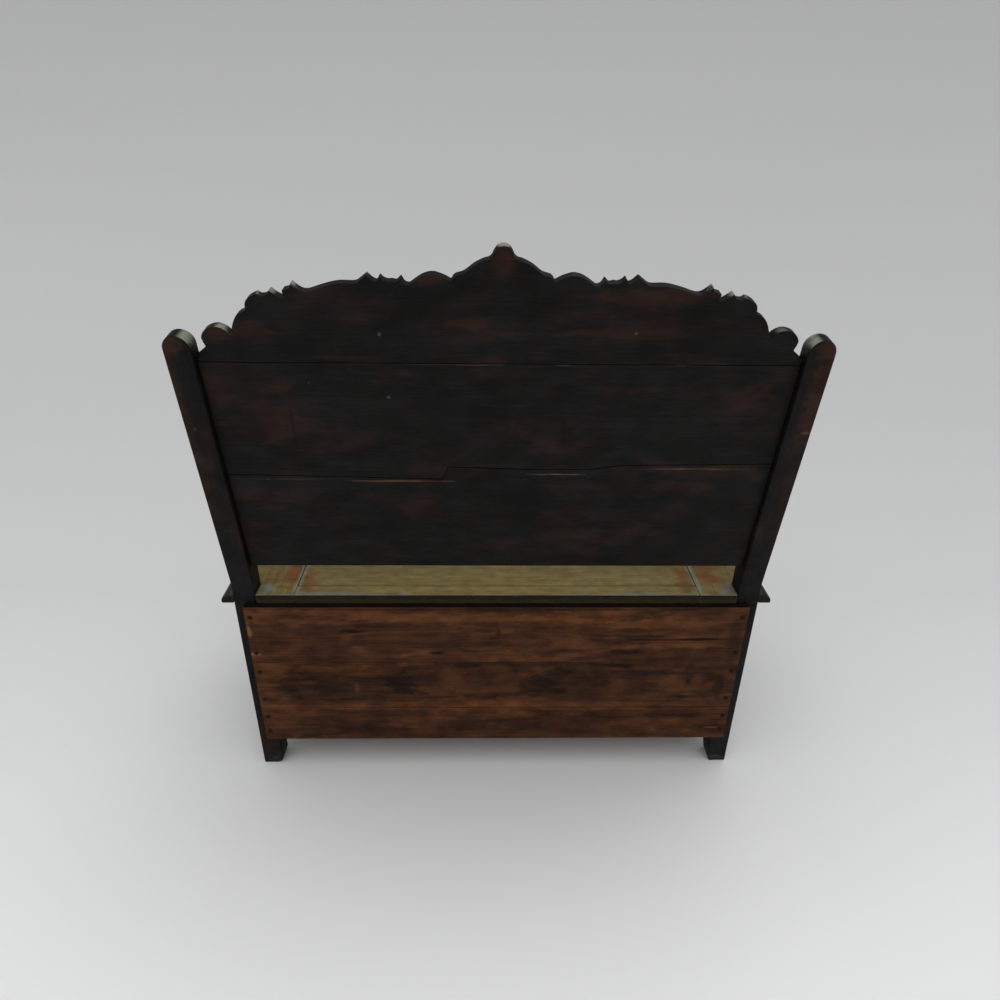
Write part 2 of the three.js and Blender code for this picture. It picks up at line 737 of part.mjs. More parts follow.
function addArms() {
  const middle = halfSpan - leg.width / 2;
  const across = around(middle, arm.width);
  const rear = postFrontForward(armUnderside) + fit;
  const rearTop = postFrontForward(armUnderside + arm.thickness) + fit;
  const front = frameDepth + arm.frontOverhang;
  const outline = smoothPoints(armShares, armSteps).map(([along, up]) => [
    rearTop + along * (front - rearTop),
    armUnderside + up * arm.thickness,
  ]);
  const body = sideProfile([[rear, armUnderside], ...outline], across);
  const tenonRear = postFrontForward(armMiddle) - tenon.length;
  const tenons = block(
    around(middle, arm.tenonThickness),
    [tenonRear, rear + tenon.length],
    around(armMiddle, arm.tenonHeight),
  );
  const hole = bar(support.spigotRadius + fit, support.spigotLength + fit + overrun);
  const place = [middle, -(frameDepth - leg.depth / 2)];
  hole.translate(...place, armUnderside - overrun);
  addPair(bench, "arm", cut(joined(body, tenons), hole), darkOak);

  const low = seatHeight + fit;
  const height = arm.rise - 2 * fit;
  const blockHeight = support.blockShare * height;
  const turnedHeight = height - 2 * blockHeight;
  const core = turned(
    [
      [0, blockHeight - overrun],
      [support.spigotRadius, blockHeight - overrun],
      ...supportShares.map(([out, up]) => [(out * support.width) / 2, blockHeight + up * turnedHeight]),
      [support.spigotRadius, height - blockHeight + overrun],
      [0, height - blockHeight + overrun],
    ],
    support.sides,
  );
  const section = around(0, support.width);
  const starts = [0, height - blockHeight];
  const ends = starts.map((start) => block(section, section, [start, start + blockHeight]));
  const spigot = bar(support.spigotRadius, height + 2 * support.spigotLength - 2 * fit);
  spigot.translate(0, 0, fit - support.spigotLength);
  addPair(bench, "arm_support", joined(core, ...ends, spigot).translate(...place, low), darkOak);
}

addRearPosts();
addFrontLegs();
addBackBoards();
addCrest();
addSeatSides();
addSeatStrip();
addLid();
addLidBattens();
addPins();
addFrontFrame();
addSideFrames();
addRearFrame();
addNails();
addFloor();
addArms();

export default bench;
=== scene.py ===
"""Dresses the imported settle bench: worn dark wood, a carved crest, a waxed seat and a stained box."""

import logging
import math
import random
from collections.abc import Callable, Iterator, Sequence
from contextlib import contextmanager
from dataclasses import dataclass, field, replace
from enum import Enum

import bmesh
import bpy
import numpy as np
from mathutils import Matrix, Vector
from mathutils.kdtree import KDTree


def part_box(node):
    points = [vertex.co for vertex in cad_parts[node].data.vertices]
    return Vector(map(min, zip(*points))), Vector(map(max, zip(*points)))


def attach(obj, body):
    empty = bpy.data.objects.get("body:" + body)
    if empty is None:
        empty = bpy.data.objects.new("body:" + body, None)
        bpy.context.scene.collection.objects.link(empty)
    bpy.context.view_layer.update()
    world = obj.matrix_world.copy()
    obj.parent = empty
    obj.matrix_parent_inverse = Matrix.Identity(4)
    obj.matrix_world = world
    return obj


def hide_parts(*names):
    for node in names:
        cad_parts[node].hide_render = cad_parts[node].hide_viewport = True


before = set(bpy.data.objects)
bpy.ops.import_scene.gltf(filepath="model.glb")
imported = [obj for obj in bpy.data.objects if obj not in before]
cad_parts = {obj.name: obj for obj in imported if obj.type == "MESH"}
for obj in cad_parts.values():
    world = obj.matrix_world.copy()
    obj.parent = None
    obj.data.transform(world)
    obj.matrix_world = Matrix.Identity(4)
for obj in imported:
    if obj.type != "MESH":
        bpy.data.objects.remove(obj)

log = logging.getLogger("settle_bench")

MM = 0.001
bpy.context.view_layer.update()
BACK_RAKE = math.radians(9.8)
MERGE_DISTANCE = 0.01 * MM
FLAT_ANGLE = math.radians(0.5)
SMOOTH_ANGLE = math.radians(38)
ARRIS_STEPS = 3
FOOT_STEPS = 6
EDGE_SAMPLES = 6
FACET_LEVELS = 2

Piece = bpy.types.Object
Socket = bpy.types.NodeSocket
Given = bpy.types.NodeOutputs
Sockets = dict[str, Socket]
Colour = tuple[float, float, float]

# Selecting and editing


def activate(piece: Piece) -> None:
    """Makes one object the only selected and the active one.

    Args:
        piece: The object.
    """
    bpy.ops.object.select_all(action="DESELECT")
    piece.select_set(True)
    bpy.context.view_layer.objects.active = piece


@contextmanager
def editing(piece: Piece) -> Iterator[bmesh.types.BMesh]:
    """Opens a piece in edit mode with nothing selected.

    Args:
        piece: The mesh object.

    Returns:
        The edit mesh, to select in.
    """
    activate(piece)
    bpy.ops.object.mode_set(mode="EDIT")
    bpy.ops.mesh.select_mode(type="VERT")
    bpy.ops.mesh.select_all(action="DESELECT")
    yield bmesh.from_edit_mesh(piece.data)
    bpy.ops.object.mode_set(mode="OBJECT")


def select_where(piece: Piece, mode: str, test: Callable[..., bool]) -> int:
    """Selects the vertices, edges or faces that pass a test, in edit mode.

    Args:
        piece: The mesh object in edit mode.
        mode: VERT, EDGE or FACE.
        test: Says whether an element is selected.

    Returns:
        How many are selected.
    """
    bpy.ops.mesh.select_mode(type=mode)
    bpy.ops.mesh.select_all(action="DESELECT")
    mesh = bmesh.from_edit_mesh(piece.data)
    elements = {"VERT": mesh.verts, "EDGE": mesh.edges, "FACE": mesh.faces}[mode]
    elements.ensure_lookup_table()
    mesh.normal_update()
    chosen = [element for element in elements if test(element)]
    for element in chosen:
        element.select_set(True)
    mesh.select_flush_mode()
    bmesh.update_edit_mesh(piece.data)
    return len(chosen)


def apply_modifier(piece: Piece, kind: str, **settings: object) -> None:
    """Adds a modifier and applies it.

    Args:
        piece: The mesh object.
        kind: The modifier's type.
        settings: Its properties.
    """
    activate(piece)
    modifier = piece.modifiers.new(kind.lower(), kind)
    for name, value in settings.items():
        setattr(modifier, name, value)
    bpy.ops.object.modifier_apply(modifier=modifier.name)


def place(piece: Piece, matrix: Matrix) -> None:
    """Moves a piece and puts its place into its mesh.

    Args:
        piece: The object.
        matrix: Where it goes.
    """
    piece.matrix_world = matrix @ piece.matrix_world
    activate(piece)
    bpy.ops.object.transform_apply(location=True, rotation=True, scale=True)


def smooth(piece: Piece) -> None:
    """Shades a piece smooth up to an angle, with flat faces kept flat.

    Args:
        piece: The mesh object.
    """
    activate(piece)
    bpy.ops.object.shade_smooth_by_angle(angle=SMOOTH_ANGLE, keep_sharp_edges=True)
    apply_modifier(piece, "WEIGHTED_NORMAL", keep_sharp=True, weight=50)


# Grain and material slots


class Grain(Enum):
    """Which way a piece's grain runs: the axes along it, across its face and through it."""

    ACROSS = (Vector((1, 0, 0)), Vector((0, 0, 1)), Vector((0, 1, 0)))
    UPRIGHT = (Vector((0, 0, 1)), Vector((1, 0, 0)), Vector((0, 1, 0)))
    FORE_AND_AFT = (Vector((0, 1, 0)), Vector((0, 0, 1)), Vector((1, 0, 0)))
    FLAT_ACROSS = (Vector((1, 0, 0)), Vector((0, 1, 0)), Vector((0, 0, 1)))
    FLAT_FORWARD = (Vector((0, 1, 0)), Vector((1, 0, 0)), Vector((0, 0, 1)))


GRAIN_ATTRIBUTE = "grain"
LOG_SPREAD = 4.0
PITH_DEPTH = (25 * MM, 70 * MM)
PITH_SHIFT_SHARE = 0.35


def lay_grain(piece: Piece, grain: Grain, seed: int) -> None:
    """Stores each point's place in the log that the piece was sawn from.

    Args:
        piece: The mesh object.
        grain: Which way the grain runs.
        seed: Picks the piece's place in the log.
    """
    draw = random.Random(seed)
    along, across, through = grain.value
    corners = [Vector(corner) for corner in piece.bound_box]
    centre = sum(corners, Vector()) / len(corners)
    width = max(corner.dot(across) for corner in corners) - min(corner.dot(across) for corner in corners)
    shift = Vector((
        draw.uniform(-LOG_SPREAD, LOG_SPREAD),
        draw.uniform(-PITH_SHIFT_SHARE, PITH_SHIFT_SHARE) * width,
        draw.uniform(*PITH_DEPTH) * draw.choice((-1, 1)),
    ))
    places = piece.data.attributes.new(GRAIN_ATTRIBUTE, "FLOAT_VECTOR", "POINT")
    for vertex, place_in_log in zip(piece.data.vertices, places.data):
        offset = vertex.co - centre
        in_log = Vector((offset.dot(along), offset.dot(across), offset.dot(through)))
        place_in_log.vector = in_log + shift


# Node trees


class Nodes:
    """Builds and links the nodes of one tree."""

    def __init__(self, tree: bpy.types.NodeTree) -> None:
        """Starts with a given tree."""
        self.tree = tree

    def add(self, kind: str, **settings: object) -> bpy.types.Node:
        """Adds a node of a type with its properties set."""
        node = self.tree.nodes.new(kind)
        for name, value in settings.items():
            setattr(node, name, value)
        return node

    def put(self, socket: Socket, value: object) -> None:
        """Links a socket to another, or sets its value."""
        if isinstance(value, Socket):
            self.tree.links.new(value, socket)
        else:
            socket.default_value = value

    def feed(self, node: bpy.types.Node, inputs: dict[str, object]) -> None:
        """Links or sets a node's inputs by name."""
        for name, value in inputs.items():
            self.put(node.inputs[name], value)

    def fed(self, kind: str, inputs: dict[str, object], **settings: object) -> bpy.types.Node:
        """Adds a node of a type with its inputs linked or set and its properties set."""
        node = self.add(kind, **settings)
        self.feed(node, inputs)
        return node

    def math(self, operation: str, *values: object, clamp: bool = False) -> Socket:
        """Adds a Math node and returns its value."""
        node = self.add("ShaderNodeMath", operation=operation, use_clamp=clamp)
        for socket, value in zip(node.inputs, values):
            self.put(socket, value)
        return node.outputs[0]

    def times(self, first: object, second: object, clamp: bool = False) -> Socket:
        """Multiplies two numbers."""
        return self.math("MULTIPLY", first, second, clamp=clamp)

    def vector(self, operation: str, *values: object) -> Socket:
        """Adds a Vector Math node and returns its vector, or its value for a dot product or length."""
        node = self.add("ShaderNodeVectorMath", operation=operation)
        for socket, value in zip(node.inputs, values):
            self.put(socket, value)
        scalar = operation in ("DOT_PRODUCT", "DISTANCE", "LENGTH")
        return node.outputs["Value" if scalar else "Vector"]

    def stretched(self, vector: object, factors: object) -> Socket:
        """Multiplies the parts of a vector by factors."""
        return self.vector("MULTIPLY", vector, factors)

    def noise(self, vector: object, scale: object, detail: float = 3, rough: float = 0.55) -> Socket:
        """Adds a Noise Texture node and returns its value."""
        inputs = {"Vector": vector, "Scale": scale, "Detail": detail, "Roughness": rough}
        return self.fed("ShaderNodeTexNoise", inputs).outputs["Fac"]

    def ease(
        self, value: object, low: object, high: object, start: object = 0.0, end: object = 1.0
    ) -> Socket:
        """Maps a value smoothly from one range to another, and returns the result."""
        inputs = {"Value": value, "From Min": low, "From Max": high, "To Min": start, "To Max": end}
        return self.fed("ShaderNodeMapRange", inputs, interpolation_type="SMOOTHSTEP").outputs["Result"]

    def mix(self, amount: object, first: object, second: object, blend: str = "MIX") -> Socket:
        """Mixes two colours and returns the result."""
        node = self.add("ShaderNodeMix", data_type="RGBA", blend_type=blend)
        self.put(node.inputs[0], amount)
        self.put(node.inputs[6], first)
        self.put(node.inputs[7], second)
        return node.outputs[2]

    def group(self, tree: bpy.types.NodeTree, **inputs: object) -> bpy.types.Node:
        """Adds a group node and sets or links its inputs, whose names have _ for a space."""
        named = {name.replace("_", " "): value for name, value in inputs.items()}
        return self.fed("ShaderNodeGroup", named, node_tree=tree)

    def mask(self, tree: bpy.types.NodeTree, **inputs: object) -> Socket:
        """Adds a group node as group does, and returns its mask."""
        return self.group(tree, **inputs).outputs["Mask"]

    def attribute(self, name: str) -> Socket:
        """Reads a vector attribute of the mesh."""
        return self.add("ShaderNodeAttribute", attribute_name=name).outputs["Vector"]

    def object_place(self) -> Socket:
        """Reads the place on the object."""
        return self.add("ShaderNodeTexCoord").outputs["Object"]

    def object_normal(self) -> Socket:
        """Reads the surface's direction on the object, which stays the same at every pose."""
        return self.add("ShaderNodeTexCoord").outputs["Normal"]

    def normal(self) -> Socket:
        """Reads the surface's direction."""
        return self.add("ShaderNodeNewGeometry").outputs["Normal"]


def rgba(colour: Colour) -> tuple[float, float, float, float]:
    """A colour with full alpha."""
    return (*colour, 1.0)


def effect(
    name: str,
    inputs: dict[str, float | None],
    build: Callable[[Nodes, Given], Sockets],
    outputs: Sequence[str] = ("Mask",),
) -> bpy.types.NodeTree:
    """Builds an effect as a shader node group with named inputs and outputs.

    Args:
        name: The group's name.
        inputs: Each input's name with its default number, or None for a vector.
        build: Given the nodes and the input sockets, returns each output's source socket.
        outputs: The names of the outputs, all of them numbers from 0 to 1.

    Returns:
        The group.
    """
    tree = bpy.data.node_groups.new(name, "ShaderNodeTree")
    for label, default in inputs.items():
        kind = "NodeSocketVector" if default is None else "NodeSocketFloat"
        socket = tree.interface.new_socket(name=label, in_out="INPUT", socket_type=kind)
        if default is not None:
            socket.default_value = default
    for label in outputs:
        tree.interface.new_socket(name=label, in_out="OUTPUT", socket_type="NodeSocketFloat")
    nodes = Nodes(tree)
    entry = nodes.add("NodeGroupInput")
    leave = nodes.add("NodeGroupOutput")
    for label, source in build(nodes, entry.outputs).items():
        tree.links.new(source, leave.inputs[label])
    return tree


class Effects:
    """The node groups that the finishes share."""

    def __init__(self) -> None:
        """Builds every effect once."""
        self.figure = effect(
            "wood figure",
            {"Place": None, "Ring Scale": 60.0, "Streak Scale": 260.0},
            self._figure,
            ("Rings", "Streaks", "Pores", "Clouds"),
        )
        self.wear = effect("edge wear", {"Reach": 0.004, "Amount": 1.0}, self._wear)
        self.grime = effect("grime", {"Reach": 0.03, "Amount": 1.0}, self._grime)
        self.patches = effect("patches", {"Place": None, "Scale": 8.0, "Cover": 0.5}, self._patches)
        self.facing = effect("facing", {"Direction": None, "From": 0.2, "To": 0.9}, self._facing)
        mark_inputs = {"Place": None, "Middle": None, "Reach": None, "Breakup": 0.5, "Strength": 1.0}
        self.mark = effect("mark", mark_inputs, self._mark)
        self.saw = effect("saw marks", {"Place": None, "Spacing": 0.006, "Slope": 0.5}, self._saw)
        mottle_inputs = {"Place": None, "Scale": 30.0}
        self.mottle = effect("mottle", mottle_inputs, self._mottle, ("Red", "Green", "Blue"))
        self.bloom = effect("bloom", {"Lean": 0.0, "From": 0.3, "To": 0.9}, self._bloom)

    @staticmethod
    def _figure(nodes: Nodes, given: Given) -> Sockets:
        """Growth rings, streaks along the grain, short pores and slow clouds."""
        sway_scale, sway_reach = (2.2, 9, 9), (0.05, 0.05, 0.05)
        ring_stretch, streak_stretch = (0.08, 1, 1), (0.02, 1, 1)
        pore_scale, cloud_scale = (45, 900, 900), (2.5, 14, 14)
        slow = nodes.stretched(given["Place"], sway_scale)
        sway = nodes.fed("ShaderNodeTexNoise", {"Vector": slow, "Scale": 1.0, "Detail": 2.0})
        centred = nodes.vector("SUBTRACT", sway.outputs["Color"], (0.5, 0.5, 0.5))
        bent = nodes.vector("MULTIPLY_ADD", centred, sway_reach, given["Place"])
        ring_inputs = {
            "Vector": nodes.stretched(bent, ring_stretch),
            "Scale": given["Ring Scale"],
            "Distortion": 0.9,
            "Detail": 2.0,
            "Detail Scale": 0.6,
        }
        ring_kind = {"wave_type": "RINGS", "rings_direction": "X", "wave_profile": "SAW"}
        rings = nodes.fed("ShaderNodeTexWave", ring_inputs, **ring_kind)
        drawn_out = nodes.stretched(bent, streak_stretch)
        streaks = nodes.noise(drawn_out, given["Streak Scale"], 4, 0.65)
        pores = nodes.noise(nodes.stretched(bent, pore_scale), 1.0, 2, 0.5)
        clouds = nodes.noise(nodes.stretched(bent, cloud_scale), 1.0, 4, 0.6)
        return {
            "Rings": rings.outputs["Fac"],
            "Streaks": streaks,
            "Pores": nodes.ease(pores, 0.56, 0.7),
            "Clouds": clouds,
        }

    @staticmethod
    def _wear(nodes: Nodes, given: Given) -> Sockets:
        """Where the surface turns within a short reach, broken up so that it isn't even."""
        faint, full = 0.015, 0.16
        rounded = nodes.fed("ShaderNodeBevel", {"Radius": given["Reach"]}, samples=EDGE_SAMPLES)
        same = nodes.vector("DOT_PRODUCT", rounded.outputs["Normal"], nodes.normal())
        turned = nodes.math("SUBTRACT", 1.0, same)
        uneven = nodes.ease(nodes.noise(nodes.object_place(), 42.0, 4, 0.65), 0.4, 0.66)
        mask = nodes.times(nodes.ease(turned, faint, full), uneven)
        return {"Mask": nodes.times(mask, given["Amount"], clamp=True)}

    @staticmethod
    def _grime(nodes: Nodes, given: Given) -> Sockets:
        """Where other surfaces are close, as in corners and grooves: dirt gathers there, and this also
        paints the shade that falls there.
        """
        clean, full = 0.95, 0.35
        near = nodes.fed("ShaderNodeAmbientOcclusion", {"Distance": given["Reach"]}, samples=EDGE_SAMPLES)
        closed = nodes.ease(near.outputs["AO"], clean, full)
        return {"Mask": nodes.times(closed, given["Amount"], clamp=True)}

    @staticmethod
    def _patches(nodes: Nodes, given: Given) -> Sockets:
        """Soft blotches."""
        softness = 0.12
        cloud = nodes.noise(given["Place"], given["Scale"], 5, 0.6)
        return {"Mask": nodes.ease(cloud, given["Cover"], nodes.math("ADD", given["Cover"], softness))}

    @staticmethod
    def _facing(nodes: Nodes, given: Given) -> Sockets:
        """How far the surface faces a direction of the object."""
        along = nodes.vector("DOT_PRODUCT", nodes.object_normal(), given["Direction"])
        return {"Mask": nodes.ease(along, given["From"], given["To"])}

    @staticmethod
    def _bloom(nodes: Nodes, given: Given) -> Sockets:
        """Faces turned upwards or, as far as Lean says, also towards the middle of the bench: where a
        dusting settles, and where a painted highlight stands for the light that falls on them.
        """
        full_lean_at = 0.2
        parts = nodes.fed("ShaderNodeSeparateXYZ", {"Vector": nodes.object_place()})
        side = nodes.math("DIVIDE", parts.outputs["X"], -full_lean_at)
        limited = nodes.math("MINIMUM", nodes.math("MAXIMUM", side, -1.0), 1.0)
        direction = nodes.fed("ShaderNodeCombineXYZ", {"X": nodes.times(limited, given["Lean"]), "Z": 1.0})
        unit = nodes.vector("NORMALIZE", direction.outputs["Vector"])
        along = nodes.vector("DOT_PRODUCT", nodes.object_normal(), unit)
        return {"Mask": nodes.ease(along, given["From"], given["To"])}

    @staticmethod
    def _mottle(nodes: Nodes, given: Given) -> Sockets:
        """Slight changes of tint from spot to spot."""
        inputs = {"Vector": given["Place"], "Scale": given["Scale"], "Detail": 3.0}
        cloud = nodes.fed("ShaderNodeTexNoise", inputs)
        parts = nodes.fed("ShaderNodeSeparateColor", {"Color": cloud.outputs["Color"]})
        return {name: parts.outputs[name] for name in ("Red", "Green", "Blue")}

    @staticmethod
    def _mark(nodes: Nodes, given: Given) -> Sockets:
        """One ragged oval with a soft edge."""
        raggedness, outer, inner = 2.6, 1.2, 0.5
        offset = nodes.vector("SUBTRACT", given["Place"], given["Middle"])
        distance = nodes.vector("LENGTH", nodes.vector("DIVIDE", offset, given["Reach"]))
        centred = nodes.math("SUBTRACT", given["Breakup"], 0.5)
        ragged = nodes.math("MULTIPLY_ADD", centred, raggedness, distance)
        return {"Mask": nodes.times(nodes.ease(ragged, outer, inner), given["Strength"])}

    @staticmethod
    def _saw(nodes: Nodes, given: Given) -> Sockets:
        """Slanting parallel lines that a hand saw leaves, faint in places."""
        wobble_reach = 0.012
        parts = nodes.fed("ShaderNodeSeparateXYZ", {"Vector": given["Place"]})
        slanted = nodes.math("MULTIPLY_ADD", parts.outputs["Z"], given["Slope"], parts.outputs["X"])
        wobble = nodes.times(nodes.noise(given["Place"], 25.0), wobble_reach)
        phase = nodes.math("DIVIDE", nodes.math("ADD", slanted, wobble), given["Spacing"])
        wave = nodes.math("SINE", nodes.times(phase, math.tau))
        shown = nodes.ease(nodes.noise(given["Place"], 9.0), 0.5, 0.62)
        return {"Mask": nodes.times(nodes.ease(wave, 0.2, 1.0), shown)}


# Marks of use, and painted highlights and shade


ANYWHERE = 10_000.0
BREAKUP_SCALE = (22, 60, 60)
Spot = tuple[float, float, float, float, float]


@dataclass(frozen=True)
class Mark:
    """A stain, knot or worn spot, or a painted highlight or shade, by its middle and half sizes in mm on
    the object.
    """

    middle: tuple[float, float, float]
    reach: tuple[float, float, float]
    strength: float


def behind(*spots: Spot) -> tuple[Mark, ...]:
    """Marks on upright faces, each by its x and z, its whole length and height, and its strength."""
    return tuple(
        Mark((x, 0, z), (length / 2, ANYWHERE, height / 2), strength)
        for x, z, length, height, strength in spots
    )


def on_seat(*spots: Spot) -> tuple[Mark, ...]:
    """Marks on the seat, each by its x and y, its whole length and depth, and its strength."""
    return tuple(
        Mark((x, y, 0), (length / 2, depth / 2, ANYWHERE), strength)
        for x, y, length, depth, strength in spots
    )


def mark_mask(nodes: Nodes, effects: Effects, marks: Sequence[Mark]) -> Socket:
    """Joins marks into one mask.

    Args:
        nodes: The material's nodes.
        effects: The shared node groups.
        marks: One mark or more.

    Returns:
        The mask.
    """
    place_on_object = nodes.object_place()
    breakup = nodes.noise(nodes.stretched(place_on_object, BREAKUP_SCALE), 1.0, 4, 0.6)
    joined, *others = (
        nodes.mask(
            effects.mark,
            Place=place_on_object,
            Middle=Vector(mark.middle) * MM,
            Reach=Vector(mark.reach) * MM,
            Breakup=breakup,
            Strength=mark.strength,
        )
        for mark in marks
    )
    for spot in others:
        joined = nodes.math("MAXIMUM", joined, spot)
    return joined


# Finishes


UPWARDS = (0, 0, 1)
DOWNWARDS = (0, 0, -1)
TOWARDS_THE_REAR = (0, 1, 0)
ROUGH_CHANGE = (-0.1, 0.12)
STREAK_HEIGHT = 0.7
PORE_HEIGHT = -0.3
PORE_TONE = 0.45
BARE_DARK_TONE = 0.4
TINT_SHARES = (("Red", 0.45), ("Green", 0.0), ("Blue", 0.4))
SAW_SPACING = 5 * MM
# Reach and strength of the darkening near other surfaces: dirt in corners, and painted shade.
GRIME_AND_SHADE_REACH = 25 * MM
GRIME_AND_SHADE_AMOUNT = 0.85
SHELTER_POWER = 3.0
PIT_DEPTH = 0.3 * MM


def new_material(name: str) -> tuple[bpy.types.Material, Nodes, bpy.types.Node]:
    """Starts a material.

    Args:
        name: Its name.

    Returns:
        The material, its nodes and its shader.
    """
    material = bpy.data.materials.new(name)
    material.use_nodes = True
    nodes = Nodes(material.node_tree)
    return material, nodes, material.node_tree.nodes["Principled BSDF"]


def add_bump(nodes: Nodes, shader: bpy.types.Node, height: Socket, depth: float) -> None:
    """Adds a bump to a shader.

    Args:
        nodes: The material's nodes.
        shader: Its shader.
        height: The height, from 0 to 1.
        depth: How deep the height's whole range is.
    """
    bump = nodes.fed("ShaderNodeBump", {"Strength": 1.0, "Distance": depth, "Height": height})
    nodes.put(shader.inputs["Normal"], bump.outputs["Normal"])


@dataclass(frozen=True)
class WoodFinish:
    """A wood finish: its colours from the deepest tone to bare worn wood, some of them painted light and
    shade, its marks and its sheen.
    """

    name: str
    deep: Colour
    body: Colour
    warm: Colour
    worn: Colour
    # A pale tone for what faces up: a dusting, and on the smoked oak and the posts a painted highlight
    # where light falls.
    dust_and_highlight: Colour
    # A painted shade for the faces that don't face up.
    edge: Colour | None = None
    under: Colour | None = None
    # A painted shade for the faces that face up.
    top: Colour | None = None
    # A pale bluish painted highlight.
    cool_highlight: Colour | None = None
    dark_marks: tuple[Mark, ...] = ()
    warm_marks: tuple[Mark, ...] = ()
    pale_marks: tuple[Mark, ...] = ()
    cool_highlight_marks: tuple[Mark, ...] = ()
    edge_marks: tuple[Mark, ...] = ()
    highlight_marks: tuple[Mark, ...] = ()
    marked_side: tuple[float, float, float] | None = None
    mottle: float = 0.2
    mottle_scale: float = 30.0
    ring_scale: float = 60.0
    ring_contrast: float = 0.35
    streak_scale: float = 260.0
    streak_contrast: float = 0.85
    warm_cover: float = 0.52
    warm_amount: float = 0.6
    wear_amount: float = 0.6
    dust_and_highlight_amount: float = 0.25
    highlight_lean: float = 0.0
    dust_and_highlight_range: tuple[float, float] = (0.3, 0.9)
    saw_amount: float = 0.0
    rough: float = 0.55
    sheen_level: float = 0.25
    bump_depth: float = 0.6 * MM

    def make(self, effects: Effects) -> bpy.types.Material:
        """Builds the material.

        Args:
            effects: The shared node groups.

        Returns:
            The material.
        """
        material, nodes, shader = new_material(self.name)
        place_in_log = nodes.attribute(GRAIN_ATTRIBUTE)
        scales = {"Ring_Scale": self.ring_scale, "Streak_Scale": self.streak_scale}
        figure = nodes.group(effects.figure, Place=place_in_log, **scales)
        colour = self._figured(nodes, effects, figure, place_in_log)
        colour = self._marked(nodes, effects, colour)
        colour = self._mottled(nodes, effects, colour)
        colour = self._faced(nodes, effects, figure, colour)
        colour = self._aged(nodes, effects, figure, colour)
        smoothest, roughest = (self.rough + change for change in ROUGH_CHANGE)
        clouded = nodes.ease(figure.outputs["Clouds"], 0.3, 0.7, smoothest, roughest)
        sheen = {"Roughness": clouded, "Specular IOR Level": self.sheen_level}
        nodes.feed(shader, {"Base Color": colour, **sheen})
        raised = nodes.times(figure.outputs["Streaks"], STREAK_HEIGHT)
        height = nodes.math("MULTIPLY_ADD", figure.outputs["Pores"], PORE_HEIGHT, raised)
        add_bump(nodes, shader, height, self.bump_depth)
        return material

    def _figured(
        self, nodes: Nodes, effects: Effects, figure: bpy.types.Node, place_in_log: Socket
    ) -> Socket:
        """Colours the bare figure of the wood: streaks, rings and warm clouds."""
        share = nodes.ease(figure.outputs["Streaks"], 0.3, 0.72, 1 - self.streak_contrast, 1.0)
        streaked = nodes.mix(share, rgba(self.deep), rgba(self.body))
        ringed = nodes.times(figure.outputs["Rings"], self.ring_contrast)
        toned = nodes.mix(ringed, streaked, rgba(self.deep))
        stretched = nodes.stretched(place_in_log, (1, 3.2, 3.2))
        clouds = nodes.mask(effects.patches, Place=stretched, Scale=5.5, Cover=self.warm_cover)
        warmth = nodes.times(clouds, self.warm_amount)
        return nodes.mix(warmth, toned, rgba(self.warm))

    def _faced(
        self, nodes: Nodes, effects: Effects, figure: bpy.types.Node, colour: Socket
    ) -> Socket:
        """Gives the sides, the underside and the upper faces a tone of their own, where the finish has
        one: the tones of the upper faces and of the sides are painted shade, that of the underside is bare
        wood.
        """
        # Painted shade: the faces that face up turn to their own darker tone.
        if self.top:
            upward = nodes.mask(effects.facing, Direction=UPWARDS, From=0.3, To=0.75)
            colour = nodes.mix(upward, colour, rgba(self.top))
        # Painted shade: the faces that don't face up turn to this tone.
        if self.edge:
            upward = nodes.mask(effects.facing, Direction=UPWARDS, From=0.25, To=0.6)
            colour = nodes.mix(upward, rgba(self.edge), colour)
        if self.under:
            downward = nodes.mask(effects.facing, Direction=DOWNWARDS, From=0.93, To=0.99)
            dark = rgba(tuple(BARE_DARK_TONE * value for value in self.under))
            share = nodes.ease(figure.outputs["Streaks"], 0.35, 0.65)
            ringed = nodes.times(nodes.ease(figure.outputs["Rings"], 0.2, 1.0), 0.5)
            bare = nodes.mix(ringed, nodes.mix(share, dark, rgba(self.under)), dark)
            colour = nodes.mix(downward, colour, bare)
        return colour

    def _marked(self, nodes: Nodes, effects: Effects, colour: Socket) -> Socket:
        """Lays the finish's own marks over a colour."""
        layers = (
            (self.warm_marks, self.warm),
            # Painted bluish highlights and reflections.
            (self.cool_highlight_marks, self.cool_highlight or self.dust_and_highlight),
            (self.dark_marks, self.deep),
            (self.pale_marks, self.worn),
            # These marks take the painted shade of the sides.
            (self.edge_marks, self.edge or self.deep),
        )
        side = 1.0
        if self.marked_side:
            side = nodes.mask(effects.facing, Direction=self.marked_side, From=0.1, To=0.5)
        for marks, tone in layers:
            if marks:
                share = nodes.times(mark_mask(nodes, effects, marks), side)
                colour = nodes.mix(share, colour, rgba(tone))
        return colour

    def _mottled(self, nodes: Nodes, effects: Effects, colour: Socket) -> Socket:
        """Shifts a colour's tint a little from spot to spot."""
        stretched = nodes.stretched(nodes.object_place(), (0.6, 1, 1))
        cloud = nodes.group(effects.mottle, Place=stretched, Scale=self.mottle_scale)
        tint = nodes.add("ShaderNodeCombineColor")
        shared = nodes.ease(cloud.outputs["Green"], 0.32, 0.68, 1 - self.mottle, 1 + self.mottle)
        for name, share in TINT_SHARES:
            spread = self.mottle * share
            own = nodes.ease(cloud.outputs[name], 0.32, 0.68, 1 - spread, 1 + spread)
            nodes.put(tint.inputs[name], nodes.times(shared, own))
        return nodes.mix(1.0, colour, tint.outputs[0], "MULTIPLY")

